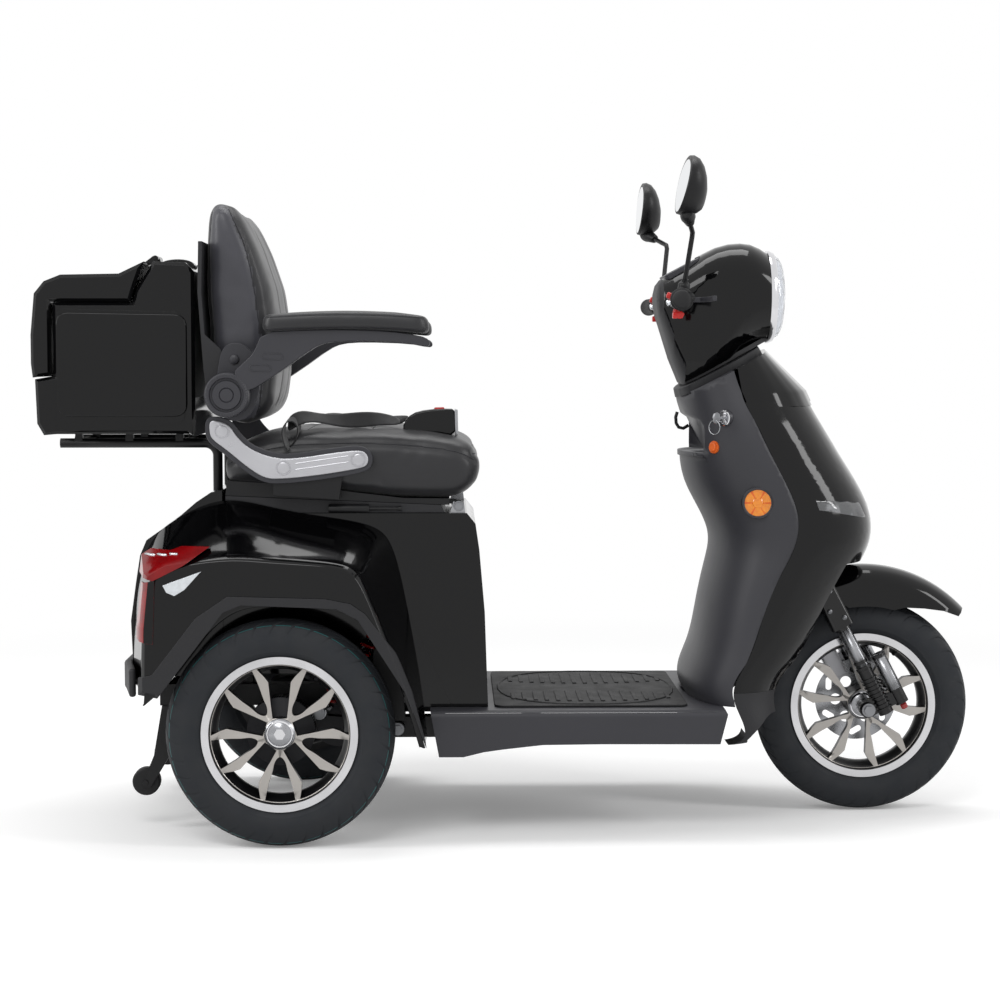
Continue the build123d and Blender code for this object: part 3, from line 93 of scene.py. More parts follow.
finishes = {
    # pigmented ABS from a polished mould: deep black with a wet shine and a trace of orange peel
    "glossBlackAbs": dict(dark="030304", light="070708", broadMm=160, rough=(0.06, 0.11), ior=1.52,
        specular=0.22, grainMm=16, bumpMm=0.03, coat=0.12),
    # moulded ABS with a fine spark-eroded skin: slate grey, satin
    "slateSatinAbs": dict(dark="2c2c30", light="35353a", broadMm=220, rough=(0.4, 0.5), specular=0.35,
        grainMm=0.9, bumpMm=0.05),
    # polypropylene with a coarse leather-like mould grain
    "grainedPolypropylene": dict(dark="19191b", light="232326", broadMm=120, rough=(0.5, 0.62), ior=1.49,
        specular=0.35, grainMm=2.4, bumpMm=0.3, cells=True),
    # black powder coat on steel tube: fine orange peel, satin
    "powderCoat": dict(dark="08080a", light="101012", broadMm=90, rough=(0.36, 0.48), specular=0.3,
        grainMm=1.2, bumpMm=0.06),
    # black stove enamel on the fork: glossy
    "blackEnamel": dict(dark="060607", light="0b0b0d", broadMm=60, rough=(0.14, 0.24), ior=1.52,
        specular=0.3, grainMm=5, bumpMm=0.03, coat=0.15),
    # cast aluminium with silver lacquer: pale grey, soft shine
    "silverLacquer": dict(dark="a9a9ad", light="bebec2", broadMm=60, rough=(0.26, 0.34), metallic=0.5,
        grainMm=0.8, bumpMm=0.03, coat=0.25),
    # face-turned alloy under clear coat: warm light grey with fine tool rings
    "machinedAlloy": dict(dark="9b9793", light="b2aea9", broadMm=70, rough=(0.3, 0.4), metallic=0.7,
        grainMm=0.7, bumpMm=0.03),
    # buffed alloy: bright with faint polishing haze
    "polishedAlloy": dict(dark="b4b4b6", light="d6d6d8", broadMm=50, rough=(0.12, 0.2), metallic=1.0,
        grainMm=3, bumpMm=0.01),
    # black wheel lacquer: dark satin
    "wheelLacquer": dict(dark="0a0a0b", light="121214", broadMm=40, rough=(0.28, 0.4), specular=0.35,
        grainMm=2, bumpMm=0.04),
    # electroplated chrome: mirror bright
    "chromePlate": dict(dark="c9c9cc", light="e2e2e4", broadMm=60, rough=(0.04, 0.08), metallic=1.0,
        grainMm=8, bumpMm=0.01),
    # brushed stainless steel: mid grey with short scratches
    "brushedSteel": dict(dark="8d8e91", light="a6a7aa", broadMm=40, rough=(0.22, 0.32), metallic=1.0,
        grainMm=1.0, bumpMm=0.02, stretch=(1, 1, 14)),
    # zinc-plated fasteners: dull grey
    "zincSteel": dict(dark="77787b", light="909194", broadMm=20, rough=(0.35, 0.5), metallic=1.0,
        grainMm=1.5, bumpMm=0.04),
    # sand-cast gear case under grey paint: rough and matt
    "castCase": dict(dark="29292b", light="3a3a3d", broadMm=30, rough=(0.5, 0.65), specular=0.4,
        grainMm=1.6, bumpMm=0.15),
    # red spring enamel: glossy
    "redEnamel": dict(dark="7d0f0c", light="a31511", broadMm=20, rough=(0.18, 0.28), coat=0.3, grainMm=3,
        bumpMm=0.02),
    # tyre compound: blue-black, dusty, with fine flow marks
    "tyreCompound": dict(dark="15171a", light="212429", broadMm=35, rough=(0.62, 0.8), ior=1.52,
        specular=0.35, grainMm=1.6, bumpMm=0.12),
    # teal witness line on the new tread
    "tealPaint": dict(dark="0f4a4c", light="14605f", broadMm=10, rough=(0.5, 0.6), grainMm=1.5,
        bumpMm=0.05),
    # moulded grip and roller rubber: dull black
    "mouldedRubber": dict(dark="101011", light="19191b", broadMm=40, rough=(0.58, 0.72), specular=0.35,
        grainMm=1.0, bumpMm=0.08),
    # seat vinyl: soft black with a pebbled leather print of about 2 mm
    "upholsteryVinyl": dict(dark="161618", light="222225", broadMm=70, rough=(0.36, 0.46), specular=0.4,
        grainMm=2.4, bumpMm=0.14, cells=True, sheen=0.08),
    # grey side vinyl of the backrest: smoother, with a satin shine
    "sideVinyl": dict(dark="323237", light="424248", broadMm=90, rough=(0.34, 0.42), specular=0.4,
        grainMm=2.4, bumpMm=0.08, cells=True, sheen=0.08),
    # nylon belt webbing: black with a ribbed weave of about 1.5 mm
    "nylonWebbing": dict(dark="0a0a0b", light="141416", broadMm=20, rough=(0.66, 0.8), specular=0.3,
        grainMm=1.5, bumpMm=0.3, cells=True, sheen=0.25),
    # red acrylic: deep, wet, with moulded ripples
    "redAcrylic": dict(dark="5c0205", light="94070c", broadMm=25, rough=(0.08, 0.16), ior=1.45, grainMm=6,
        bumpMm=0.1, coat=0.1, specular=0.35),
    # amber acrylic reflector: small prisms
    "amberAcrylic": dict(dark="c85e02", light="f39a18", broadMm=7, rough=(0.08, 0.16), ior=1.49, grainMm=3,
        bumpMm=0.3, cells=True, coat=0.5),
    # red push button plastic
    "redButton": dict(dark="a8120e", light="c81a14", broadMm=15, rough=(0.25, 0.35), grainMm=2,
        bumpMm=0.03),
    # orange socket cap
    "orangeCap": dict(dark="c2500c", light="dc6414", broadMm=15, rough=(0.35, 0.45), grainMm=2,
        bumpMm=0.03),
    # battery case: dull moulded grey
    "batteryCase": dict(dark="1c1c1e", light="262629", broadMm=60, rough=(0.5, 0.6), specular=0.4,
        grainMm=1.2, bumpMm=0.08),
    # mirror glass: silvered, faintly cool
    "mirrorGlass": dict(dark="d8dadd", light="e6e8ea", broadMm=200, rough=(0.02, 0.04), metallic=1.0,
        grainMm=60, bumpMm=0.0),
    # white reflector and lamp interior; also the bright strokes that paint a highlight on the tail lamps
    "lampSilverAndPaintedHighlight": dict(dark="c4c8cc", light="e4e8ec", broadMm=12, rough=(0.1, 0.22), metallic=0.85,
        grainMm=6, bumpMm=0.2),
    # bonded polyester seam thread: dark grey, slightly furry
    "seamThread": dict(dark="1a1a1c", light="2c2c30", broadMm=5, rough=(0.6, 0.7), specular=0.3,
        grainMm=0.8, bumpMm=0.1),
}


def newMaterial(name):
    material = bpy.data.materials.new(name)
    material.use_nodes = True
    return material, material.node_tree, material.node_tree.nodes["Principled BSDF"]


def makeFinish(name, look):
    # tone and roughness drift over broadMm, and a grain of grainMm stands bumpMm deep
    material, tree, shader = newMaterial(name)
    coords = addNode(tree, "ShaderNodeTexCoord").outputs["Object"]
    broad = addNode(tree, "ShaderNodeTexNoise", {"Scale": 1000 / look["broadMm"], "Detail": 4.0},
                    {"Vector": coords})
    colour = addNode(tree, "ShaderNodeMix",
                     {"data_type": "RGBA", 6: linear(look["dark"]), 7: linear(look["light"])},
                     {0: broad.outputs[0]})
    least, most = look["rough"]
    rough = addNode(tree, "ShaderNodeMapRange",
                    {"From Min": 0.3, "From Max": 0.7, "To Min": least, "To Max": most},
                    {"Value": broad.outputs[0]})
    if "stretch" in look:
        coords = addNode(tree, "ShaderNodeMapping", {"Scale": look["stretch"]}, {"Vector": coords}).outputs[0]
    kind, extra = ("Voronoi", ("feature", "SMOOTH_F1")) if look.get("cells") else ("Noise", ("Detail", 3.0))
    grain = addNode(tree, "ShaderNodeTex" + kind, {extra[0]: extra[1], "Scale": 1000 / look["grainMm"]},
                    {"Vector": coords})
    bump = addNode(tree, "ShaderNodeBump", {"Strength": 0.6, "Distance": look["bumpMm"] / 1000},
                   {"Height": grain.outputs[0]})
    metallic = look.get("metallic", 0.0)
    fill(tree, shader, {"Metallic": metallic, "Specular IOR Level": look.get("specular", 0.5),
                        "Coat Weight": look.get("coat", 0.0), "Coat Roughness": 0.04,
                        "Sheen Weight": look.get("sheen", 0.0)},
         {"Base Color": colour.outputs[2], "Roughness": rough.outputs[0], "Normal": bump.outputs[0]})
    if metallic < 1:
        shader.inputs["IOR"].default_value = look.get("ior", 1.5)
    return material


materials = {name: makeFinish(name, look) for name, look in finishes.items()}


def makeClear(name, tint, roughness, bumpMm, ribMm):
    # clear polycarbonate lens with moulded ribs
    material, tree, shader = newMaterial(name)
    coords = addNode(tree, "ShaderNodeTexCoord").outputs["Object"]
    ribs = addNode(tree, "ShaderNodeTexWave",
                   {"Scale": 1000 / ribMm / 3.14, "Distortion": 0.4, "bands_direction": "Y"},
                   {"Vector": coords})
    bump = addNode(tree, "ShaderNodeBump", {"Strength": 0.5, "Distance": bumpMm / 1000},
                   {"Height": ribs.outputs[0]})
    fill(tree, shader, {"Base Color": linear(tint), "Transmission Weight": 0.92, "Roughness": roughness,
                        "IOR": 1.58}, {"Normal": bump.outputs[0]})
    return material


materials["clearPolycarbonate"] = makeClear("clearPolycarbonate", "f4f6fa", 0.04, 0.15, 14)
print("materials made,", len(materials))

# which finish each record slot takes
slotFinish = {
    "frame_enamel": "powderCoat", "axle_enamel": "castCase", "spring_enamel": "redEnamel",
    "fork_enamel": "blackEnamel", "body_plastic": "glossBlackAbs", "trim_plastic": "slateSatinAbs",
    "mat_rubber": "mouldedRubber", "tyre_rubber": "tyreCompound", "rim_alloy": "wheelLacquer",
    "cast_alloy": "silverLacquer", "bright_steel": "brushedSteel", "chrome_plate": "chromePlate",
    "black_steel": "powderCoat", "battery_case": "batteryCase", "seat_vinyl": "upholsteryVinyl",
    "belt_webbing": "nylonWebbing", "clear_lens": "clearPolycarbonate", "red_lens": "redAcrylic",
    "amber_lens": "amberAcrylic",
}
nodeSlot = {s["node"]: s["material_slot"] for s in frame["record"]["subparts"]}
# the frame's x at station 0, in millimetres
zeroX = -24.25
sides = ((-1, "right"), (1, "left"))


def at(station, y, z):
    # a place given in millimetres: station along the vehicle, y to the left, z up
    return Vector((station + zeroX, y, z)) / 1000


def addObject(name, data):
    made = bpy.data.objects.new(name, data)
    bpy.context.scene.collection.objects.link(made)
    return made


def finishPiece(shape, name, body, slot, replaced=(), finish=None, smooth=35.0, parts=None, even=False):
    # turns a bmesh, in metres in the row frame, into a piece that rides on a body, in its slot's finish
    # unless another one is named
    mesh = bpy.data.meshes.new(name)
    shape.to_mesh(mesh)
    shape.free()
    for part in parts or [finish or slotFinish[slot]]:
        mesh.materials.append(materials[part])
    mesh.shade_smooth()
    mesh.set_sharp_from_angle(angle=math.radians(smooth))
    piece = addObject(name, mesh)
    if even:
        # keeps large flat faces flat beside their rounded edges
        piece.modifiers.new("evenShade", "WEIGHTED_NORMAL").keep_sharp = True
    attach(piece, body)
    if replaced:
        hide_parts(*replaced)
    return piece


def mergedCopy(nodeName):
    shape = bmesh.new()
    shape.from_mesh(nodes[nodeName].data)
    bmesh.ops.remove_doubles(shape, verts=shape.verts, dist=1e-5)
    return shape


def flatJoined(shape):
    # joins the triangles of each flat face
    bmesh.ops.dissolve_limit(shape, angle_limit=math.radians(0.6), verts=shape.verts, edges=shape.edges)
    return shape


def bevelled(shape, edges, widthMm, segments):
    bmesh.ops.bevel(shape, geom=list(edges), offset=widthMm / 1000, offset_type="OFFSET", segments=segments,
                    profile=0.5, affect="EDGES", material=-1, clamp_overlap=True)
    return shape


def softEdges(shape, widthMm, segments=2, angle=32.0):
    # rounds every edge sharper than the angle
    limit = math.radians(angle)
    sharp = [e for e in shape.edges if len(e.link_faces) == 2 and e.calc_face_angle(0) > limit]
    return bevelled(shape, sharp, widthMm, segments)


def roundedCopy(nodeName, widthMm):
    # the CAD shape with its flat faces joined and its corners rounded
    return softEdges(flatJoined(mergedCopy(nodeName)), widthMm)


def cutBeyond(shape, place, way):
    # takes away what lies beyond a plane
    bmesh.ops.bisect_plane(shape, geom=shape.verts[:] + shape.edges[:] + shape.faces[:], plane_co=place,
                           plane_no=way, clear_outer=True)


def faceOut(shape, faces=None):
    bmesh.ops.recalc_face_normals(shape, faces=faces or shape.faces)


def bodyOf(nodeName):
    return nodes[nodeName]["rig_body"]


def spin(profile, centre, axis, steps=64, closed=False, shape=None):
    # a profile of (radius, along) in millimetres turned about an axis through centre
    shape = shape or bmesh.new()
    axis = Vector(axis).normalized()
    out = axis.cross(Vector((0, 0, 1)))
    out = out.normalized() if out.length > 0.1 else Vector((1, 0, 0))
    made = [shape.verts.new(Vector(centre) + (out * r + axis * a) / 1000) for r, a in profile]
    ends = made[1:] + made[:1] if closed else made[1:]
    made += [shape.edges.new(pair) for pair in zip(made, ends)]
    bmesh.ops.spin(shape, geom=made, cent=centre, axis=axis, dvec=(0, 0, 0), angle=math.tau, steps=steps,
                   use_merge=True)
    bmesh.ops.remove_doubles(shape, verts=shape.verts, dist=2e-6)
    bmesh.ops.dissolve_degenerate(shape, dist=1e-7, edges=shape.edges)
    faceOut(shape)
    return shape


def pushOut(shape, face, way):
    # extrudes a face along a way
    pushed = bmesh.ops.extrude_face_region(shape, geom=[face])["geom"]
    bmesh.ops.translate(shape, vec=way, verts=[v for v in pushed if isinstance(v, bmesh.types.BMVert)])


def slab(outline, start, way, bevelMm=0.0, shape=None, segments=2):
    # a flat outline of places pushed out along a way, its edges rounded
    shape = shape or bmesh.new()
    before = set(shape.faces)
    pushOut(shape, shape.faces.new([shape.verts.new(p + start) for p in outline]), way)
    fresh = [f for f in shape.faces if f not in before]
    faceOut(shape, fresh)
    if bevelMm:
        bevelled(shape, {e for f in fresh for e in f.edges if e.calc_face_angle(0) > 0.5}, bevelMm, segments)
    return shape


def sideSlab(points, y, thick, bevelMm=0.0, shape=None, segments=2):
    # a side outline of (station, height) at y, thick millimetres towards its sign
    return slab([at(s, 0, z) for s, z in points], Vector((0, y / 1000, 0)), Vector((0, thick / 1000, 0)),
                bevelMm, shape, segments)


def circle(shape, count, radiusMm, place, way, capped=False):
    # a ring of vertices about a place, square to a way
    turn = Matrix.Translation(place) @ way.to_track_quat("Z", "X").to_matrix().to_4x4()
    return bmesh.ops.create_circle(shape, segments=count, radius=radiusMm / 1000, cap_ends=capped,
                                   matrix=turn)["verts"]


def edgesOf(verts):
    return list({e for v in verts for e in v.link_edges})


def tube(path, radiusMm, count=12, shape=None, ends=True):
    # a round bar along places, one ring at each, bridged
    shape = shape or bmesh.new()
    rings = []
    for i, here in enumerate(path):
        way = (path[min(i + 1, len(path) - 1)] - path[max(i - 1, 0)]).normalized()
        rings.append(edgesOf(circle(shape, count, radiusMm, here, way)))
    for low, high in zip(rings, rings[1:]):
        bmesh.ops.bridge_loops(shape, edges=low + high)
    if ends:
        for ring in (rings[0], rings[-1]):
            bmesh.ops.contextual_create(shape, geom=ring)
    faceOut(shape)
    return shape


def screwHead(place, way, radiusMm, heightMm=3.0, shape=None):
    # a domed button head
    r, h = radiusMm, heightMm
    return spin([(0, h), (r * 0.35, h), (r * 0.42, h * 0.6), (r * 0.55, h * 0.95), (r * 0.85, h * 0.7),
                 (r, h * 0.3), (r, 0), (0, 0)], place, way, steps=20, shape=shape)


def hexHead(place, way, radiusMm, heightMm=5.0, shape=None):
    # a six-sided head on a washer
    way = Vector(way).normalized()
    shape = spin([(0, 1.2), (radiusMm * 1.35, 1.2), (radiusMm * 1.4, 0), (0, 0)], place, way, steps=24,
                 shape=shape)
    ring = circle(shape, 6, radiusMm, place + way * 0.0012, way, capped=True)
    pushOut(shape, next(f for f in ring[0].link_faces if len(f.verts) == 6), way * heightMm / 1000)
    faceOut(shape)
    return shape

# copies of the rigid CAD nodes: the rounding of their edges in millimetres
shells = {
    "trunk_lid": 1.5, "seat_box": 1.6, "foot_deck": 1.5, "tail_panel": 1.5, "rear_bumper": 5.0,
    "backrest_frame": 2.5, "frame": 2.0, "rear_frame": 2.0, "seat_ledge": 1.0, "seat_pan": 1.2,
    "battery_pack": 4.0, "floor_mat": 1.2, "instrument_panel": 1.5, "arch_trims": 1.2,
    "rear_indicators": 0.8, "rear_axle": 1.5, "fairing_trim": 0.8, "trunk_reflector": 1.2,
    "brake_caliper": 1.5, "front_brake_disc": 0.6, "seat_hinges": 0.8, "brake_levers": 2.0, "fork": 1.2,
    "anti_tip_wheel_left": 1.0, "anti_tip_wheel_right": 1.0,
}
# and their finish where it isn't the slot's
shellFinish = {
    "rear_bumper": "grainedPolypropylene", "backrest_frame": "grainedPolypropylene",
    "seat_ledge": "grainedPolypropylene", "arch_trims": "grainedPolypropylene",
    "rear_indicators": "lampSilverAndPaintedHighlight", "fairing_trim": "grainedPolypropylene",
}
# nodes that a piece further down stands for
modelled = {
    "front_rim", "rear_rim_left", "rear_rim_right", "front_tyre", "rear_tyre_left", "rear_tyre_right",
    "rear_fender_left", "rear_fender_right", "shock_springs", "side_reflectors", "headlamp_lens",
    "headlamp_bezel", "front_fairing", "handlebar_cover", "trunk_base",
    "tail_lamps", "seat_cushion", "backrest_cushion", "armrest_pad_left", "armrest_pad_right",
    "seat_belt", "grips", "mirrors", "front_light_bar", "side_brackets", "ignition_lock",
    "armrest_arm_left", "armrest_arm_right",
}
for nodeName in sorted(set(nodes) - modelled):
    rounding = shells.get(nodeName, 0)
    shape = roundedCopy(nodeName, rounding) if rounding else mergedCopy(nodeName)
    finishPiece(shape, nodeName + ".shell", bodyOf(nodeName), nodeSlot[nodeName], [nodeName],
                shellFinish.get(nodeName), even=bool(rounding))
print("shells made")


def boxMiddle(nodeName):
    low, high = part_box(nodeName)
    return (Vector(low) + Vector(high)) / 2


# wheels: rim finishes by where a face lies, measured from the hub in millimetres
rim = dict(
    caseRadius=60, bladeFace=(23.5, 24.6), capFace=25.9, capRadius=30, lipInner=126.0, lipFace=27.0,
    # faces by material: the rest, blades, hub cap, lip, gear case
    parts=["wheelLacquer", "machinedAlloy", "brushedSteel", "polishedAlloy", "castCase"],
    ringOut=26.8, ring=[(24.6, -0.4), (24.8, 1.6), (23.6, 2.8), (21.8, 2.8), (20.6, 1.5), (20.4, -0.4)],
    hexRadius=10.5, hexHigh=3.2, valveRadius=117.0, valveOut=4.0,
    stem=[(0, 0), (5.0, 0), (4.2, 4), (2.8, 8), (2.6, 20), (0, 20)],
    valveCap=[(0, 20.2), (3.2, 20.2), (3.4, 27), (2.2, 28.6), (0, 28.6)])
wheels = {"front": ("front_rim", "front_tyre", -1), "rear_left": ("rear_rim_left", "rear_tyre_left", 1),
          "rear_right": ("rear_rim_right", "rear_tyre_right", -1)}


def rimPiece(rimNode, centre, outward, body):
    shape = mergedCopy(rimNode)
    for face in shape.faces:
        place = (face.calc_center_median() - centre) * 1000
        radius, depth, facing = math.hypot(place.x, place.z), place.y * outward, face.normal.y * outward
        if radius < rim["caseRadius"] and depth < 0:
            face.material_index = 4
        elif facing > 0.8 and rim["bladeFace"][0] < depth < rim["bladeFace"][1]:
            face.material_index = 1
        elif depth > rim["capFace"] and radius < rim["capRadius"]:
            face.material_index = 2
        elif radius > rim["lipInner"] and depth > rim["lipFace"] and facing > 0.2:
            face.material_index = 3
    finishPiece(shape, rimNode + ".wheel", body, "rim_alloy", [rimNode], parts=rim["parts"], smooth=28)
    # chrome ring and sunk hexagon on the hub cap
    way = Vector((0, outward, 0))
    ringPlace = centre + way * rim["ringOut"] / 1000
    trim = spin(rim["ring"], ringPlace, way, steps=56, closed=True)
    finishPiece(trim, rimNode + ".ring", body, "chrome_plate")
    boss = hexHead(ringPlace - way * 0.0004, way, rim["hexRadius"], rim["hexHigh"])
    finishPiece(boss, rimNode + ".hex", body, "rim_alloy", finish="polishedAlloy")
    # rubber valve stem with a chrome cap, leaning out of the barrel
    lean = Vector((0.35, outward * 0.85, 0.39)).normalized()
    root = centre + Vector((0.55, 0, 0.83)).normalized() * rim["valveRadius"] / 1000
    root += way * rim["valveOut"] / 1000
    stem = spin(rim["stem"], root, lean, steps=16)
    finishPiece(stem, rimNode + ".valve", body, "mat_rubber")
    cap = spin(rim["valveCap"], root, lean, steps=16)
    finishPiece(cap, rimNode + ".valvecap", body, "chrome_plate")


# tyre section from the bead to the middle of the tread: radius and half width in millimetres
tyre = dict(
    section=[(132.3, 28.4), (141.8, 30.6), (146, 33.6), (149.5, 35.6), (151, 36.9), (153, 37.0),
             (154.4, 37.4), (160, 39.2), (168, 40), (177, 39.3), (186, 37.6), (195, 34.5), (197.2, 33),
             (198.2, 31.6), (200.4, 28), (203, 22), (205.6, 14.6), (206, 12.6), (202.6, 11.6), (202.6, 9.4),
             (206.4, 8.4), (207.0, 7.2), (207.4, 3.0), (207.4, 0)],
    steps=540, treadFrom=176, sipeEvery=15, sipeWide=2, sipeDepth=4.2, sipeFrom=14.0, sipeTo=39.0,
    sweep=11.0, sweepFrom=13, sweepOver=27, tealRow=(197.2, 198.2), tealFrom=25)


def tyrePiece(tyreNode, centre, body, tealLine):
    half = tyre["section"]
    shape = spin(half + [(r, -w) for r, w in reversed(half[:-1])], centre, (0, 1, 0), tyre["steps"])
    spun = math.tau / tyre["steps"]
    for vert in shape.verts:
        place = (vert.co - centre) * 1000
        radius, wide = math.hypot(place.x, place.z), abs(place.y)
        turn = math.atan2(place.z, place.x)
        step = round(turn / spun) + (tyre["sipeEvery"] // 2 if place.y < 0 else 0)
        inSipe = step % tyre["sipeEvery"] < tyre["sipeWide"] and tyre["sipeFrom"] < wide < tyre["sipeTo"]
        if inSipe and radius > tyre["treadFrom"]:
            radius -= tyre["sipeDepth"] * min(1, (wide - tyre["sipeFrom"] + 4) / 8)
        if radius > tyre["treadFrom"]:
            # the grooves sweep back towards the shoulder
            swept = max(0, (wide - tyre["sweepFrom"]) / tyre["sweepOver"]) ** 1.4
            turn += math.radians(tyre["sweep"]) * swept
        vert.co = centre + Vector((radius * math.cos(turn), place.y, radius * math.sin(turn))) / 1000
    faceOut(shape)
    if tealLine:
        least, most = tyre["tealRow"]
        for face in shape.faces:
            place = (face.calc_center_median() - centre) * 1000
            if least < math.hypot(place.x, place.z) < most and abs(place.y) > tyre["tealFrom"]:
                face.material_index = 1
    finishPiece(shape, tyreNode + ".tread", body, "tyre_rubber", [tyreNode], smooth=40,
                parts=["tyreCompound", "tealPaint"])


for key, (rimNode, tyreNode, outward) in wheels.items():
    centre = boxMiddle(tyreNode)
    rimPiece(rimNode, centre, outward, bodyOf(rimNode))
    tyrePiece(tyreNode, centre, bodyOf(tyreNode), key != "front")
print("wheels made")

# rear fenders: matching side lines from the seat box out to the arch, as (station, height)
fender = dict(
    inner=[(-140, 184), (-151, 283), (-167, 372), (-185, 470), (-204, 545), (-237, 582), (-400, 598),
           (-508, 634), (-592, 594), (-662, 549), (-684, 399), (-681, 286)],
    crease=[(-143, 184), (-170, 283), (-206, 372), (-247, 478), (-270, 508), (-304, 520), (-428, 527),
            (-490, 534), (-604, 517), (-638, 496), (-649, 400), (-651, 286)],
    arch=[(-145, 184), (-176, 282), (-212, 345), (-247, 400), (-266, 420), (-306, 437), (-400, 440),
          (-474, 442), (-530, 396), (-572, 343), (-604, 297), (-645, 262)],
    wallMm=3.2, creaseInset=8.0, heart=(-404, 300))


def mixLine(first, second, t, rise=0.0):
    # a line between two others, lifted by some millimetres in its middle
    last = len(first) - 1
    return [(a[0] * (1 - t) + b[0] * t, a[1] * (1 - t) + b[1] * t + rise * math.sin(math.pi * i / last))
            for i, (a, b) in enumerate(zip(first, second))]


def drawnIn(line, heart, amount):
    moved = []
    for s, z in line:
        reach = math.hypot(s - heart[0], z - heart[1])
        moved.append((s + (heart[0] - s) * amount / reach, z + (heart[1] - z) * amount / reach))
    return moved


def skin(rows, creased=(), outwards=Vector((0, 0, 1))):
    # open surface bridged between rows of places; creased names the rows that stay crisp
    shape = bmesh.new()
    sharp = shape.edges.layers.float.new("crease_edge")
    chains = []
    for number, row in enumerate(rows):
        verts = [shape.verts.new(place) for place in row]
        edges = [shape.edges.new(pair) for pair in zip(verts, verts[1:])]
        for edge in edges:
            edge[sharp] = creased[number] if number < len(creased) else 0.0
        chains.append(edges)
    for low, high in zip(chains, chains[1:]):
        bmesh.ops.bridge_loops(shape, edges=low + high)
    faceOut(shape)
    lean = sum((f.normal * f.calc_area() for f in shape.faces), Vector())
    if lean.dot(outwards) < 0:
        bmesh.ops.reverse_faces(shape, faces=shape.faces)
    return shape


def subdivided(piece, name, levels):
    made = piece.modifiers.new(name, "SUBSURF")
    made.levels = made.render_levels = levels
    return made


def thickened(piece, name, thickMm, offset):
    made = piece.modifiers.new(name, "SOLIDIFY")
    made.thickness, made.offset = thickMm / 1000, offset


def shellPiece(shape, name, body, slot, replaced, wallMm, levels):
    piece = finishPiece(shape, name, body, slot, replaced, smooth=180)
    subdivided(piece, "rounded", levels).boundary_smooth = "PRESERVE_CORNERS"
    thickened(piece, "wall", wallMm, -1)


for side, hand in sides:
    inner, crease, arch = fender["inner"], fender["crease"], fender["arch"]
    edge = drawnIn(crease, fender["heart"], fender["creaseInset"])
    # (distance from the middle plane, side line) from the seat box out to the arch's lip
    rows = [(208.2, inner), (222, mixLine(inner, crease, 0.11, 1)), (262, mixLine(inner, crease, 0.43, 3)),
            (302, mixLine(inner, crease, 0.75, 2)), (324, mixLine(inner, crease, 0.93, 0)), (334.5, crease),
            (344.2, edge), (344.6, mixLine(edge, arch, 0.18)), (344.6, mixLine(edge, arch, 0.85)),
            (344.2, arch), (334, drawnIn(arch, fender["heart"], 1.5))]
    places = [[at(s, side * y, z) for s, z in line] for y, line in rows]
    shape = skin(places, (0, 0, 0, 0, 0, 0.35, 0.35, 0, 0, 0.6, 0), Vector((0, side, 1)))
    shellPiece(shape, f"rear_fender_{hand}.body", "chassis", "body_plastic", [f"rear_fender_{hand}"],
               fender["wallMm"], 3)
print("fenders made")

# steering axis from the record
steer = next(j for j in frame["joints"] if j["name"] == "steer")
steerUp = Vector(steer["axis"]).normalized()
steerAhead = Vector((steerUp.z, 0, -steerUp.x))
frontCentre = boxMiddle("front_tyre")
axisBase = frontCentre + steerAhead * 0.030


def steerAt(along, ahead=0.0, side=0.0):
    return axisBase + (steerUp * along + steerAhead * ahead) / 1000 + Vector((0, side / 1000, 0))


# coil springs of the rear shock absorbers
coil = dict(foot=(-338.0, 232.0), top=(-215.0, 400.0), radius=11.9, wire=2.7, turns=9.0, ends=25.0)
springUp = (at(coil["top"][0], 0, coil["top"][1]) - at(coil["foot"][0], 0, coil["foot"][1])).normalized()
springRun = math.dist(coil["top"], coil["foot"]) - 2 * coil["ends"]
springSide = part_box("shock_springs")[1][1] * 1000 - coil["radius"] - coil["wire"]
for side, hand in sides:
    foot = at(coil["foot"][0], side * springSide, coil["foot"][1]) + springUp * coil["ends"] / 1000
    shape = bmesh.new()
    steps = int(coil["turns"] * 28)
    start = foot + springUp.cross(Vector((0, 1, 0))) * coil["radius"] / 1000
    ring = circle(shape, 10, coil["wire"], start, Vector((0, 1, 0)))
    bmesh.ops.spin(shape, geom=ring + edgesOf(ring), cent=foot, axis=springUp,
                   dvec=springUp * springRun / 1000 / steps, angle=math.tau * coil["turns"], steps=steps)
    bmesh.ops.holes_fill(shape, edges=[e for e in shape.edges if e.is_boundary], sides=0)
    faceOut(shape)
    finishPiece(shape, f"shock_spring_{hand}.coil", "chassis", "spring_enamel",
                ["shock_springs"] if side < 0 else ())
print("springs made")

# front fairing: the CAD shell up to crownFrom, and above it a closed crown with the nose ridge
frontBody = dict(
    # (height, rear, edge, front, half width) of the lofted body from its middle up
    levels=[(540, 407, 543, 715, 214), (589, 388, 547, 712, 213), (640, 362, 530, 690, 209),
            (700, 350, 500, 653, 200), (760, 350, 472, 617, 186), (820, 340, 446, 587, 166),
            (900, 322, 434, 505, 138)],
    # the share of the half width left at each share of the way from the edge to the nose, and to the rear
    ahead=[(0, 1), (0.22, 0.985), (0.44, 0.93), (0.64, 0.83), (0.79, 0.7), (0.9, 0.51), (0.97, 0.3), (1, 0)],
    behind=[(0, 1), (0.42, 0.9), (0.62, 0.78), (0.8, 0.62), (0.9, 0.47), (0.96, 0.3), (1, 0)],
    crownFrom=792, crownStep=4, crownTo=921, overlap=8, grow=1.0, growOver=24, roundness=0.9,
    ridgeFrom=796, ridgeHalf=30.0, ridgeMm=6.0,
    # places along the steering axis
    crownTop=703.0, collarTop=715.5, plateLow=717.5, seam=722.0, plateShare=0.985, plateOver=4,
    # the neck's steps round the axis, its least and greatest reach, and how it stays inside the body
    neckSteps=72, neckLeast=20.0, collarReach=112.0, neckInset=2.0, neckNarrow=1.02, neckHigh=915)


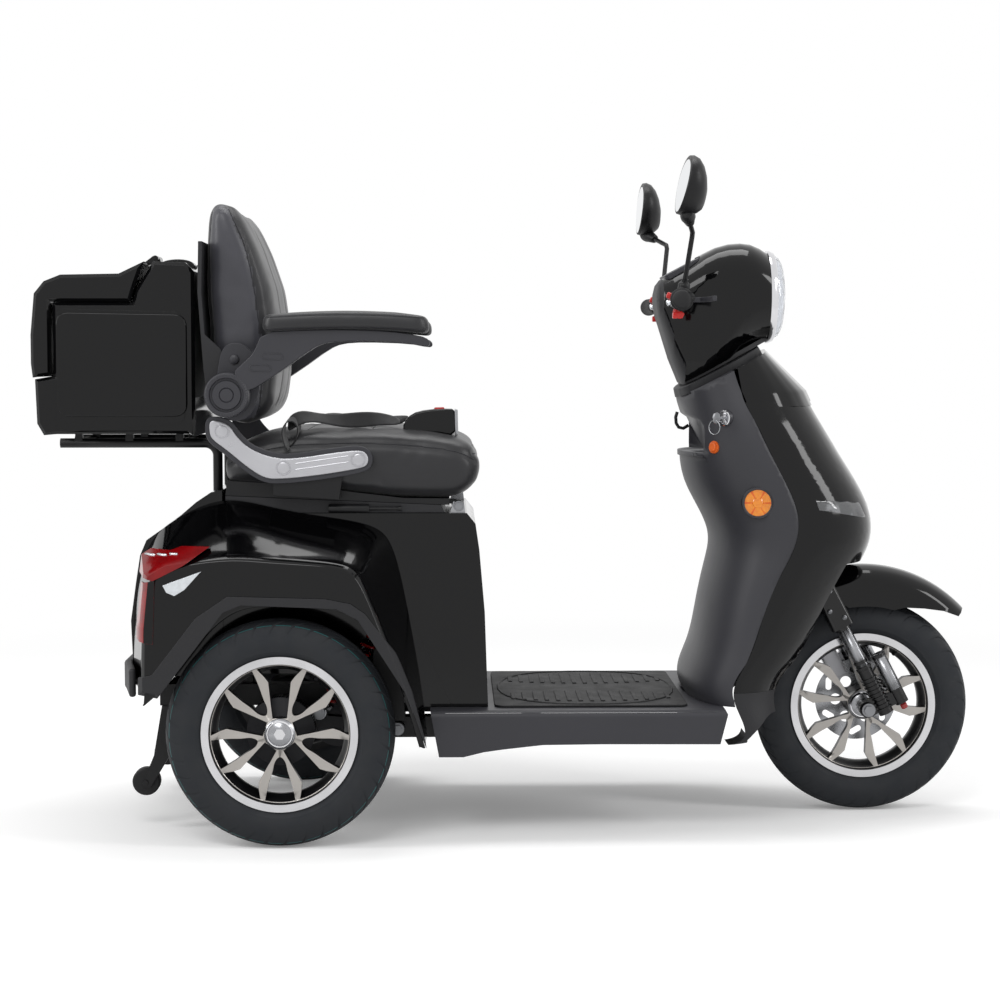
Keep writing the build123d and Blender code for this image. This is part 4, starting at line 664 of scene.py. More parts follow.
def bodyAt(height):
    # rear, edge, front and half width of the body at a height
    rows = frontBody["levels"]
    first = max([i for i in range(len(rows) - 1) if rows[i][0] <= height] or [0])
    low, high = rows[first], rows[first + 1]
    t = (height - low[0]) / (high[0] - low[0])
    return [a + (b - a) * t for a, b in zip(low[1:], high[1:])]


def share(curve, a):
    # the part of the half width that a curve has left at a
    for (a0, b0), (a1, b1) in zip(curve, curve[1:]):
        if a <= a1:
            return b0 + (b1 - b0) * (a - a0) / (a1 - a0)
    return 0.0


def insideBody(station, y, height):
    rear, edge, nose, half = bodyAt(height)
    ahead = station > edge
    a = (station - edge) / ((nose if ahead else rear) - edge)
    return a <= 1 and abs(y) < half * share(frontBody["ahead"] if ahead else frontBody["behind"], a)


shape = roundedCopy("front_fairing", 0.8)
cutBeyond(shape, (0, 0, (frontBody["crownFrom"] + frontBody["overlap"]) / 1000), (0, 0, 1))
finishPiece(shape, "front_fairing.shell", "chassis", "body_plastic", ["front_fairing"], even=True)
turns = [math.pi / 2 * n / 24 for n in range(-24, 25)]
rows = []
for height in range(frontBody["crownFrom"], frontBody["crownTo"], frontBody["crownStep"]):
    rear, edge, nose, half = bodyAt(height)
    grow = frontBody["grow"] * min(1, (height - frontBody["crownFrom"]) / frontBody["growOver"])
    row = [at(edge + 1, -half - grow, height)]
    for turn in turns:
        # along the D from one edge to the other, through the nose
        a = math.cos(turn) ** frontBody["roundness"]
        y = math.copysign(share(frontBody["ahead"], a), turn) * half
        ridge = frontBody["ridgeMm"] * max(0, 1 - abs(y) / frontBody["ridgeHalf"]) ** 0.5
        ridge *= height > frontBody["ridgeFrom"]
        row.append(at(edge + a * (nose - edge) + grow + ridge, y + math.copysign(grow, turn), height))
    row.append(at(edge + 1, half + grow, height))
    rows.append(row)
crown = bmesh.new()
made = [[crown.verts.new(p) for p in row] for row in rows]
for low, high in zip(made, made[1:]):
    for i in range(len(low) - 1):
        crown.faces.new((low[i], low[i + 1], high[i + 1], high[i]))
bmesh.ops.remove_doubles(crown, verts=crown.verts, dist=5e-5)
crownTop = steerAt(frontBody["crownTop"])
cutBeyond(crown, crownTop, steerUp)
opened = [e for e in crown.edges if e.is_boundary and
          all(abs((v.co - crownTop).dot(steerUp)) < 1e-5 for v in e.verts)]
bmesh.ops.contextual_create(crown, geom=opened)
faceOut(crown)
softEdges(crown, 2.5, 3, 40)
finishPiece(crown, "front_fairing.crown", "chassis", "body_plastic", smooth=40, even=True)

# neck: the body carried up to the cover's seam inside the headlamp's swing, and a plate that closes the cover
neck = bmesh.new()
rings = []
for along in (frontBody["crownTop"] - 3, frontBody["collarTop"]):
    ring = []
    for number in range(frontBody["neckSteps"]):
        turn = math.tau * number / frontBody["neckSteps"]
        reach = frontBody["neckLeast"]
        while reach < frontBody["collarReach"]:
            spot = steerAt(along, reach * math.cos(turn), reach * math.sin(turn)) * 1000
            if not insideBody(spot.x - zeroX + frontBody["neckInset"], spot.y * frontBody["neckNarrow"],
                              min(spot.z, frontBody["neckHigh"])):
                break
            reach += 1.0
        ring.append(neck.verts.new(steerAt(along, reach * math.cos(turn), reach * math.sin(turn))))
    rings.append(ring)
for i in range(frontBody["neckSteps"]):
    neck.faces.new((rings[0][i], rings[0][i - 1], rings[1][i - 1], rings[1][i]))
neck.faces.new(rings[1])
neck.faces.new(rings[0][::-1])
faceOut(neck)
softEdges(neck, 1.5, 2, 40)
finishPiece(neck, "fairing_neck", "chassis", "trim_plastic", finish="grainedPolypropylene", even=True)

# handlebar cover: gloss shell, its back in grained plastic
cover = roundedCopy("handlebar_cover", 1.0)
for face in cover.faces:
    if face.normal.x < -0.72:
        face.material_index = 1
finishPiece(cover, "handlebar_cover.shell", "steering", "body_plastic", ["handlebar_cover"], even=True,
            parts=["glossBlackAbs", "grainedPolypropylene"])
seamPoints = []
for vert in nodes["handlebar_cover"].data.vertices:
    place = (vert.co - axisBase) * 1000
    if abs(place.dot(steerUp) - frontBody["seam"]) < 0.2:
        seamPoints.append(Vector((place.dot(steerAhead), place.y)))
order = convex_hull_2d(seamPoints)
outline = [steerAt(frontBody["plateLow"], *(seamPoints[i] * frontBody["plateShare"])) for i in order]
thick = frontBody["seam"] + frontBody["plateOver"] - frontBody["plateLow"]
plate = slab(outline, Vector((0, 0, 0)), steerUp * thick / 1000)
finishPiece(plate, "handlebar_cover.base", "steering", "body_plastic", finish="grainedPolypropylene")
print("fairing crown, neck and cover made")


def grown(line, amount):
    # a closed side outline moved outwards by some millimetres
    turned = sum(a[0] * b[1] - b[0] * a[1] for a, b in zip(line, line[1:] + line[:1]))
    sense = 1 if turned > 0 else -1
    moved = []
    for before, here, after in zip(line[-1:] + line[:-1], line, line[1:] + line[:1]):
        way = Vector((after[0] - before[0], after[1] - before[1])).normalized()
        moved.append((here[0] + way.y * amount * sense, here[1] - way.x * amount * sense))
    return moved


def softened(line, times=2, closed=True):
    # cuts the corners of a side outline, so that it runs in curves
    for _ in range(times):
        pairs = list(zip(line, line[1:] + line[:1])) if closed else list(zip(line, line[1:]))
        cut = []
        for a, b in pairs:
            cut.append((a[0] * 0.75 + b[0] * 0.25, a[1] * 0.75 + b[1] * 0.25))
            cut.append((a[0] * 0.25 + b[0] * 0.75, a[1] * 0.25 + b[1] * 0.75))
        line = cut if closed else [line[0]] + cut[1:-1] + [line[-1]]
    return line


def asMesh(holder):
    # the mesh of an object with its modifiers applied
    bpy.context.view_layer.update()
    graph = bpy.context.evaluated_depsgraph_get()
    return bpy.data.meshes.new_from_object(holder.evaluated_get(graph), depsgraph=graph)


# how much of the cloth's own movement the covers show
creaseShare = 0.2


def smoothed(shape):
    bmesh.ops.smooth_vert(shape, verts=shape.verts, factor=0.5, use_axis_x=True, use_axis_y=True,
                          use_axis_z=True)


def puffed(nodeName, soft):
    # foam under a sewn cover: the shape shrinks, is remeshed, swells under pressure and comes back to its box
    low, high = (Vector(corner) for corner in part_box(nodeName))
    middle, size = (low + high) / 2, high - low
    start = mergedCopy(nodeName)
    for vert in start.verts:
        vert.co = Vector([middle[i] + (vert.co[i] - middle[i]) * (1 - 2 * soft["shrinkMm"] / 1000 / size[i])
                          for i in range(3)])
    mesh = bpy.data.meshes.new("padStart")
    start.to_mesh(mesh)
    start.free()
    holder = addObject("padStart", mesh)
    remesh = holder.modifiers.new("even", "REMESH")
    remesh.mode = "VOXEL"
    remesh.voxel_size = soft["voxelMm"] / 1000
    mesh = asMesh(holder)
    holder.modifiers.clear()
    holder.data = mesh
    shape = bmesh.new()
    shape.from_mesh(mesh)
    for _ in range(soft["rounding"]):
        smoothed(shape)
    shape.to_mesh(mesh)
    shape.normal_update()
    before = [vert.co.copy() for vert in shape.verts]
    facing = [vert.normal.copy() for vert in shape.verts]
    even = soft["capMm"] / 2000
    cloth = holder.modifiers.new("cloth", "CLOTH")
    cloth.settings.quality = 5
    cloth.settings.use_pressure = True
    cloth.settings.uniform_pressure_force = 4
    cloth.settings.effector_weights.gravity = 0
    for number in range(1, 21):
        bpy.context.scene.frame_set(number)
    swollen = asMesh(holder)
    after = [vert.co.copy() for vert in swollen.vertices]
    bpy.context.scene.frame_set(1)
    holder.modifiers.clear()
    for vert, old, new, way in zip(shape.verts, before, after, facing):
        move = new - old
        cap = soft["capMm"] / 1000 * (0.15 if way.z < -0.5 else 1.0)
        swell = move * cap / move.length if move.length > cap else move
        # tight foam: most of the swelling is even, and the cover's creases show only a little
        vert.co = old + (way * even).lerp(swell, creaseShare)
    smoothed(shape)
    # back to the box that the solid holds
    lows = [min(v.co[i] for v in shape.verts) for i in range(3)]
    highs = [max(v.co[i] for v in shape.verts) for i in range(3)]
    for vert in shape.verts:
        vert.co = Vector([low[i] + (vert.co[i] - lows[i]) * size[i] / (highs[i] - lows[i]) for i in range(3)])
    bpy.data.objects.remove(holder)
    return shape


def metBy(tree, starts, way):
    # the places where rays along a way meet a surface
    hits = [tree.ray_cast(start, Vector(way))[0] for start in starts]
    return [hit for hit in hits if hit]


def laidOn(tree, line, side, reach=0.5):
    # places where rays from one side, towards the middle, meet a surface
    return metBy(tree, [at(s, 0, z) + Vector((0, side * reach, 0)) for s, z in line], (0, -side, 0))


def sewn(shape, paths, widthMm=7, depthMm=3.5):
    # presses a valley into the cover along seams, and gives back the seams laid in it
    places = [p for path in paths for p in path]
    near = kdtree.KDTree(len(places))
    for number, place in enumerate(places):
        near.insert(place, number)
    near.balance()
    for vert in shape.verts:
        away = near.find(vert.co)[2] * 1000
        if away < widthMm * 2.5:
            vert.co -= vert.normal * depthMm / 1000 * math.exp(-(away / widthMm) ** 2)
    tree = BVHTree.FromBMesh(shape)
    return [[tree.find_nearest(p)[0] for p in path] for path in paths]


def padPiece(shape, name, body, replaced, paths, threadMm=1.0, twoTone=None):
    if twoTone:
        for face in shape.faces:
            face.material_index = 1 if twoTone(face) else 0
    pad = finishPiece(shape, name, body, "seat_vinyl", [replaced], smooth=180,
                      parts=["upholsteryVinyl", "sideVinyl"])
    subdivided(pad, "fine", 1)
    thread = bmesh.new()
    for path in paths:
        tube(path, threadMm, 8, thread)
    finishPiece(thread, name + ".seams", body, "seat_vinyl", finish="seamThread", smooth=180)


def finely(line, count=90):
    # evenly spaced places along an open side line
    lengths = [math.dist(a, b) for a, b in zip(line, line[1:])]
    total, out = sum(lengths), []
    for number in range(count + 1):
        left, leg = total * number / count, 0
        while leg < len(lengths) - 1 and left > lengths[leg]:
            left -= lengths[leg]
            leg += 1
        t = min(1, left / lengths[leg])
        out.append(tuple(line[leg][i] * (1 - t) + line[leg + 1][i] * t for i in (0, 1)))
    return out


# seat cushion, backrest and armrest pads: foam, seams as (station, height) and sewn channels
cushion = dict(shrinkMm=12, voxelMm=6.5, rounding=14, capMm=26, channels=(-360, -240),
               # the front seam's height at the sides, its rise in the middle and its half width
               frontSeam=(706, 6, 210),
               upperSeam=[(-505, 690), (-440, 716), (-366, 727), (-219, 729), (-128, 720), (-82, 713),
                          (-50, 696)])
backrest = dict(shrinkMm=11, voxelMm=6.0, rounding=9, capMm=24, channels=(-75, 75),
                frontSeam=[(-500, 1156), (-488, 1132), (-468, 1085), (-455, 1020), (-447, 965), (-441, 900),
                           (-440, 845), (-444, 800), (-452, 776)],
                rearSeam=[(-535, 1150), (-541, 1090), (-539, 1000), (-532, 900), (-527, 850), (-520, 800)])
armPad = dict(shrinkMm=4, voxelMm=4.0, rounding=8, capMm=9, archMm=6.0, seams=(938.5, 960), turnFrom=0.6,
              turnDownMm=7.5)

shape = puffed("seat_cushion", cushion)
tree = BVHTree.FromBMesh(shape)
upper = finely(softened(cushion["upperSeam"], 2, closed=False))
paths = [laidOn(tree, upper, side) for side in (-1, 1)]
height, rise, half = cushion["frontSeam"]
paths.append(metBy(tree, [at(60, y, height + rise * (1 - (y / half) ** 2)) for y in range(-200, 201, 8)],
                   (-1, 0, 0)))
# sewn channels across the seat top
for station in cushion["channels"]:
    paths.append(metBy(tree, [at(station, y, 900) for y in range(-165, 166, 6)], (0, 0, -1)))
padPiece(shape, "seat_cushion.cover", "seat", "seat_cushion", sewn(shape, paths))

shape = puffed("backrest_cushion", backrest)
tree = BVHTree.FromBMesh(shape)
front, rear = (softened(backrest[key], 2, closed=False) for key in ("frontSeam", "rearSeam"))
paths = [laidOn(tree, finely(line), side) for line in (front, rear) for side in (-1, 1)]
paths.append(metBy(tree, [at(-506, y, 1300) for y in range(-170, 171, 6)], (0, 0, -1)))
# sewn channels down the backrest's face
for y in backrest["channels"]:
    paths.append(metBy(tree, [at(-200, y, z) for z in range(800, 1121, 8)], (-1, 0, 0)))
paths = sewn(shape, paths)


def onSidePanel(face):
    place = face.calc_center_median() * 1000
    ahead = [s for s, z in front if abs(z - place.z) < 14]
    return abs(face.normal.y) > 0.45 and (not ahead or place.x - zeroX < min(ahead))


padPiece(shape, "backrest_cushion.cover", "backrest", "backrest_cushion", paths, twoTone=onSidePanel)

for side, hand in sides:
    name = f"armrest_pad_{hand}"
    shape = puffed(name, armPad)
    low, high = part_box(name)
    middle, half = (low[0] + high[0]) / 2, (high[0] - low[0]) / 2
    for vert in shape.verts:
        # the pad arches along the arm, and its front end turns down
        out = (vert.co.x - middle) / half
        vert.co.z -= armPad["archMm"] / 1000 * out ** 2
        vert.co.z -= armPad["turnDownMm"] / 1000 * max(0, out - armPad["turnFrom"])
    tree = BVHTree.FromBMesh(shape)
    seams = []
    for level in armPad["seams"]:
        line = [(s, level - armPad["archMm"] * ((s / 1000 + zeroX / 1000 - middle) / half) ** 2)
                for s in range(-424, -141, 4)]
        seams += [laidOn(tree, line, way) for way in ((side,) if level > 950 else (-1, 1))]
    seams = [seam for seam in seams if len(seam) > 4]
    padPiece(shape, name + ".cover", f"armrest_{hand}", name, seams, 0.7)
print("soft goods made")

# armrest arms: a shell under the pad that sweeps back to the recliner hub
arm = dict(
    outline=[(-434, 929), (-362, 933), (-283, 934), (-205, 931), (-150, 923), (-134, 916), (-132, 906),
             (-140, 903), (-181, 911), (-272, 914), (-318, 911), (-344, 900), (-402, 858), (-462, 820),
             (-474, 830), (-487, 856), (-470, 872), (-449, 892)],
    hub=(-499, 816), hubOut=262, inner=250.0, thick=36.0, ticks=96, tickBand=(32, 39), tickMm=0.9,
    slots=[[(-429, 886), (-402, 885)], [(-451, 865), (-424, 864)]], slotOut=286.2, slotHalf=5.5,
    hubSection=[(0, 23), (11.5, 23), (12.5, 21.4), (14, 23.2), (25.5, 23.2), (27, 19.5), (30, 19.5),
                (31.5, 24.5), (32.6, 25.6), (37.6, 25.6), (39.4, 24), (40.5, 20), (40.5, -12), (0, -12)])
for side, hand in sides:
    name = f"armrest_{hand}"
    shape = sideSlab(softened(arm["outline"], 1), side * arm["inner"], side * arm["thick"], 5.0, segments=3)
    hub = at(arm["hub"][0], side * arm["hubOut"], arm["hub"][1])
    spin(arm["hubSection"], hub, (0, side, 0), arm["ticks"], shape=shape)
    for vert in shape.verts:
        # fine ticks round the hub's outer ring
        reach = math.hypot(vert.co.x - hub.x, vert.co.z - hub.z) * 1000
        if arm["tickBand"][0] < reach < arm["tickBand"][1] and (vert.co.y - hub.y) * side > 0.024:
            turn = round(math.atan2(vert.co.z - hub.z, vert.co.x - hub.x) / math.tau * arm["ticks"])
            vert.co.y -= side * arm["tickMm"] / 1000 * (turn % 2)
    faceOut(shape)
    finishPiece(shape, f"armrest_arm_{hand}.shell2", name, "trim_plastic", [f"armrest_arm_{hand}"],
                smooth=32, even=True)
    # raised rims of two slots beside the hub
    rims = bmesh.new()
    for (s0, z0), (s1, z1) in arm["slots"]:
        way = Vector((s1 - s0, z1 - z0)).normalized()
        ring = []
        for number in range(24):
            turn = math.tau * number / 24
            cap = (s0, z0) if math.cos(turn) < 0 else (s1, z1)
            s = math.cos(turn) * way.x - math.sin(turn) * way.y
            z = math.cos(turn) * way.y + math.sin(turn) * way.x
            ring.append(at(cap[0] + arm["slotHalf"] * s, side * arm["slotOut"], cap[1] + arm["slotHalf"] * z))
        tube(ring + ring[:2], 0.9, 8, rims, ends=False)
    finishPiece(rims, f"armrest_slots_{hand}", name, "trim_plastic", smooth=180)
print("armrests made")

# side brackets: silver casting with a dark edging and three round caps
bracket = dict(
    outline=[(-534, 769), (-519, 769), (-498, 761), (-487, 742), (-463, 718), (-424, 702), (-384, 699),
             (-305, 711), (-259, 716), (-246, 706), (-246, 690), (-258, 682), (-345, 668), (-412, 662),
             (-436, 665), (-463, 682), (-503, 716), (-528, 734), (-534, 746)],
    inner=238.0, edging=9.0, caps=[(-511, 750), (-400, 683), (-264, 698)],
    capSection=[(0, 13.4), (8.5, 13.4), (10.2, 12.6), (10.6, 11.2), (12.2, 11.2), (12.6, 11.9), (13.4, 11.9),
                (13.8, 11), (13.8, 9), (0, 9)],
    line=[(-378, 680), (-330, 687), (-282, 694)], lineGap=11,
    plate=[(-528, 792), (-520, 850), (-514, 890), (-503, 908), (-480, 911), (-463, 902), (-450, 880),
           (-440, 850), (-445, 812), (-462, 772), (-500, 766)], plateInner=236)
for side, hand in sides:
    outline = softened(bracket["outline"], 2)
    y = side * bracket["inner"]
    plateAt = side * bracket["plateInner"]
    shape = sideSlab(softened(grown(bracket["outline"], bracket["edging"]), 2), y, side * 7, 2.2)
    sideSlab(softened(bracket["plate"], 2), plateAt, side * 7, 2.0, shape)
    spin([(0, 6), (5, 6), (8, 4.4), (9, 1), (9, 0), (0, 0)], at(-488, side * 243, 880), (0, side, 0), 32,
         shape=shape)
    spin([(0, 16), (27, 16), (30, 13), (30, -6), (0, -6)], at(arm["hub"][0], plateAt, arm["hub"][1]),
         (0, side, 0), 48, shape=shape)
    finishPiece(shape, f"side_bracket_edging_{hand}", "seat", "trim_plastic",
                ["side_brackets"] if side < 0 else (), even=True)
    shape = sideSlab(outline, y + side * 5, side * 6, 2.0, segments=3)
    for s, z in bracket["caps"]:
        spin(bracket["capSection"], at(s, y, z), (0, side, 0), 40, shape=shape)
    for rise in (0, bracket["lineGap"]):
        tube([at(s, y + side * 11, z + rise) for s, z in finely(bracket["line"], 16)], 1.1, 8, shape)
    finishPiece(shape, f"side_bracket_{hand}", "seat", "cast_alloy", smooth=40)
print("brackets made")


def strap(path, widths, name):
    # webbing laid along places, each with the half width vector of its edge in millimetres
    rows = [[at(*p) - Vector(w) / 1000, at(*p), at(*p) + Vector(w) / 1000] for p, w in zip(path, widths)]
    piece = finishPiece(skin(rows), name, "seat", "belt_webbing", smooth=180)
    subdivided(piece, "drape", 2)
    thickened(piece, "weave", belt["thickMm"], 0)
    return piece


# lap belt: twisted webbing over the cushion, with a glossy buckle at its front
belt = dict(
    loop=[(-392, -232, 716), (-404, -226, 748), (-398, -214, 768), (-384, -200, 774), (-372, -196, 758),
          (-378, -200, 734), (-392, -206, 722)], loopWidths=[(2, 16, 4)] * 7,
    over=[(-395, -205, 760), (-372, -190, 776), (-340, -176, 772), (-300, -166, 766), (-262, -158, 768),
          (-225, -152, 770), (-190, -148, 764)],
    overWidths=[(0, 10, 16), (0, 14, 12), (0, 16, 6), (0, 10, 12), (0, 6, 15), (0, 10, 11), (0, 14, 6)],
    far=[(-400, 205, 745), (-360, 170, 772), (-310, 90, 768), (-262, 0, 764), (-224, -90, 766),
         (-180, -136, 766)],
    farWidths=[(14, 4, 8), (16, 6, 3), (17, 8, 1), (17, 6, 3), (16, 6, 6), (12, 4, 10)],
    buckle=[(-184, 742), (-184, 762), (-168, 780), (-140, 787), (-96, 789), (-87, 786), (-84, 736),
            (-130, 744)], thickMm=1.7)
loop = strap(belt["loop"], belt["loopWidths"], "seat_belt.loop")
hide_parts("seat_belt")
for part in ("over", "far"):
    strap(belt[part], belt[part + "Widths"], "seat_belt." + part)
shape = sideSlab(softened(belt["buckle"], 1), -164, 34, 4.5, segments=3)
finishPiece(shape, "seat_belt.buckle", "seat", "belt_webbing", finish="glossBlackAbs", even=True)
shape = sideSlab([(-87, 737), (-88.5, 788), (-82.5, 786), (-81.5, 740)], -166, 38, 1.2)
finishPiece(shape, "seat_belt.tongue", "seat", "bright_steel")
shape = sideSlab([(-128, 783), (-126, 790.5), (-108, 791), (-106, 784)], -158, 22, 1.6)
finishPiece(shape, "seat_belt.button", "seat", "belt_webbing", finish="redButton")
print("belt made")

# handlebar ends: grips, switch pods and levers, swept back a little towards their ends
barHigh = boxMiddle("handlebar")
grip = dict(
    start=212.0, longMm=118, sweepMm=13.0, droop=0.03,
    section=[(0, -1), (21, -1), (21.6, 0.5), (21.6, 3), (20, 4.5), (17.2, 6), (16.6, 14), (16.6, 104),
             (17.2, 107), (17.2, 111), (15.6, 114.6), (12, 116.6), (6, 117.4), (0, 117.5)],
    diamonds=44, diamondMm=0.9, pitch=4.5,
    pod=[(-17, -15), (-19, 4), (-14, 17), (4, 20), (16, 16), (19, 2), (15, -15), (2, -21)],
    buttons=[(-19, 8, "redButton"), (-19, -5, "lampSilverAndPaintedHighlight"), (-6, -22, "redButton")],
    buttonSection=[(0, 5), (4, 5), (5.4, 4), (6, 2), (6, -4), (0, -4)],
    thumb=[(-12, 0, -7), (-12, 0, 4), (4, 0, 7), (10, 0, 2), (6, 0, -7)])
for side, hand in sides:
    root = barHigh + Vector((0, side * grip["start"] / 1000, 0))
    way = Vector((-grip["sweepMm"] / grip["longMm"], side, -grip["droop"])).normalized()
    # the straight of the section is divided finely, for its diamonds
    dense = [(16.7, 14 + 90 * i / 60) for i in range(61)]
    dense = grip["section"][:7] + dense + grip["section"][8:]
    shape = spin(dense, root, way, 88)
    for vert in shape.verts:
        # raised diamonds moulded in the grip
        local = vert.co - root
        along = local.dot(way) * 1000
        out = local - way * local.dot(way)
        if 15 < along < 103 and out.length > 0.012:
            turn = math.atan2(out.z, out.x) * grip["diamonds"] / math.tau
            turn, along = math.pi * turn, math.pi * along / grip["pitch"]
            sunk = math.cos(turn + along) * math.cos(turn - along) < 0
            vert.co -= out.normalized() * grip["diamondMm"] / 1000 * sunk
    finishPiece(shape, f"grip_{hand}.rubber", "steering", "mat_rubber", ["grips"] if side < 0 else (),
                smooth=50)
    # switch pod beside the cover, with its buttons
    pod = [barHigh + Vector((x / 1000, 0, z / 1000)) for x, z in softened(grip["pod"], 2)]
    shape = slab(pod, Vector((0, side * 0.150, 0)), Vector((0, side * 0.038, 0)), 3.0, segments=3)
    finishPiece(shape, f"switch_pod_{hand}", "steering", "trim_plastic", finish="glossBlackAbs", even=True)
    for number, (x, z, finish) in enumerate(grip["buttons"]):
        tip = barHigh + Vector((x / 1000, side * 0.168, z / 1000))
        aim = Vector((x, 0, z)).normalized()
        cap = spin(grip["buttonSection"], tip, aim, 20)
        finishPiece(cap, f"switch_button_{hand}_{number}", "steering", "trim_plastic", finish=finish)
    # red reverse lever under the grip
    low = barHigh + Vector((-0.004, side * 0.199, -0.028))
    shape = slab([low + Vector(p) / 1000 for p in grip["thumb"]], Vector((0, -0.007, 0)),
                 Vector((0, 0.014, 0)), 2.0)
    finishPiece(shape, f"thumb_lever_{hand}", "steering", "trim_plastic", finish="redButton", even=True)
print("handlebar ends made")

# mirrors: teardrop heads on bent stems, the glass facing back
mirror = dict(
    place=(334.0, 310.0, 1188.0), bend=(346, 230, 1110), lean={-1: 12, 1: 5}, yaw={-1: 4, 1: 2},
    shift={-1: 0, 1: -22}, half=(58, 53), hang=26,
    # (distance back from the middle, scale) from the glass to the back of the head
    rings=[(-14, 0.93), (-15.5, 0.97), (-14.6, 1.0), (-8, 1.02), (2, 0.98), (12, 0.85), (20, 0.66),
           (26, 0.42), (28, 0.2)],
    boot=[(0, -36), (6.4, -36), (8.6, -33), (12.4, -8), (13.6, -4), (13.0, -1), (13.8, 2), (13, 8), (10, 16),
          (0, 20)],
    socket=[(0, -8), (10.5, -8), (11, -6), (11, 10), (9, 13), (6.4, 15), (6.4, 20), (0, 20)])
for side, hand in sides:
    lean, yaw = math.radians(mirror["lean"][side]), math.radians(mirror["yaw"][side])
    back = Vector((math.cos(lean) * math.cos(yaw), math.sin(yaw), -math.sin(lean))).normalized()
    across = back.cross(Vector((0, 0, 1))).normalized()
    up = across.cross(back).normalized()
    head = at(mirror["place"][0] + mirror["shift"][side], side * mirror["place"][1], mirror["place"][2])
    shape = bmesh.new()
    loops = []
    for offset, scale in mirror["rings"]:
        ring = []
        for number in range(40):
            turn = math.tau * number / 40
            # narrower towards the foot, and the body hangs back over the boot
            wide = mirror["half"][0] * (1.0 + 0.13 * math.sin(turn)) * scale
            tall = mirror["half"][1] * scale
            drop = -(1 - scale) * mirror["hang"]
            ring.append(shape.verts.new(head + back * offset / 1000 + across * wide * math.cos(turn) / 1000
                                        + up * (tall * math.sin(turn) + drop) / 1000))
        loops.append([shape.edges.new(pair) for pair in zip(ring, ring[1:] + ring[:1])])
    for first, second in zip(loops, loops[1:]):
        bmesh.ops.bridge_loops(shape, edges=first + second)
    bmesh.ops.holes_fill(shape, edges=loops[-1], sides=0)
    glassEdge = bmesh.ops.holes_fill(shape, edges=loops[0], sides=0)["faces"]
    bmesh.ops.inset_region(shape, faces=glassEdge, thickness=0.002, depth=-0.002)
    for face in glassEdge:
        face.material_index = 1
    faceOut(shape)
    # boot, ball joint and bent stem
    foot = head - up * 0.052 + back * 0.005
    bend = at(mirror["bend"][0], side * mirror["bend"][1], mirror["bend"][2])
    base = barHigh + Vector((0.004, side * 0.198, 0.0185))
    way = (foot - bend).normalized()
    spin(mirror["boot"], foot, way, 28, shape=shape)
    stem = [base + (bend - base) * t for t in (0, 0.2, 0.4, 0.6, 0.8, 0.94)]
    stem += [bend + (foot - way * 0.02 - bend) * t for t in (0.06, 0.3, 0.6, 0.9)]
    tube(stem, 4.6, 14, shape)
    spin(mirror["socket"], base, (bend - base).normalized(), 28, shape=shape)
    finishPiece(shape, f"mirror_{hand}", "steering", "trim_plastic", ["mirrors"] if side < 0 else (),
                smooth=42, parts=["powderCoat", "mirrorGlass"])
print("mirrors made")

# headlamp: chrome rim, reflector bowl with lamp, and a domed ribbed lens
lampMiddle = boxMiddle("headlamp_bezel")
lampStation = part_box("headlamp_bezel")[0][0]
lampFace = Vector((lampStation, 0, lampMiddle.z))
lamp = dict(
    bezel=[(89, 0), (89, 5), (87.4, 8), (86, 12), (83.6, 13.4), (82, 12), (81, 6), (80, 0.4)],
    bowl=[(80, 9), (76, 3), (66, -0.6), (46, -1.2), (30, -1.4), (24, -1), (22, 6), (20, 7), (0, 7.4)],
    bulb=[(0, 12), (6, 11), (10, 7), (11.5, 0), (11.5, -2), (0, -2)], facets=24, facetMm=1.2, wallMm=2.2,
    lens=[(81.4, 8), (80.6, 14), (76, 22), (67, 27.6), (52, 31), (34, 33), (16, 34), (0, 34.2)])
shape = spin(lamp["bezel"], lampFace, (1, 0, 0), 128, closed=True)
finishPiece(shape, "headlamp_bezel.rim", "steering", "chrome_plate", ["headlamp_bezel"])
shape = spin(lamp["bowl"], lampFace, (1, 0, 0), 96)
for vert in shape.verts:
    # facets pressed in the bowl
    local = (vert.co - lampFace) * 1000
    reach = math.hypot(local.y, local.z)
    if 30 < reach < 78:
        vert.co.x += lamp["facetMm"] / 1000 * math.cos(math.atan2(local.z, local.y) * lamp["facets"])
finishPiece(shape, "headlamp_bowl", "steering", "chrome_plate", finish="lampSilverAndPaintedHighlight", smooth=30)
spun = spin(lamp["bulb"], lampFace + Vector((0.008, 0, 0)), (1, 0, 0), 32)
finishPiece(spun, "headlamp_bulb", "steering", "chrome_plate", finish="mirrorGlass")
shape = spin(lamp["lens"], lampFace, (1, 0, 0), 128)
lens = finishPiece(shape, "headlamp_lens.dome", "steering", "clear_lens", ["headlamp_lens"], smooth=50)
thickened(lens, "wall", lamp["wallMm"], -1)
print("headlamp made")

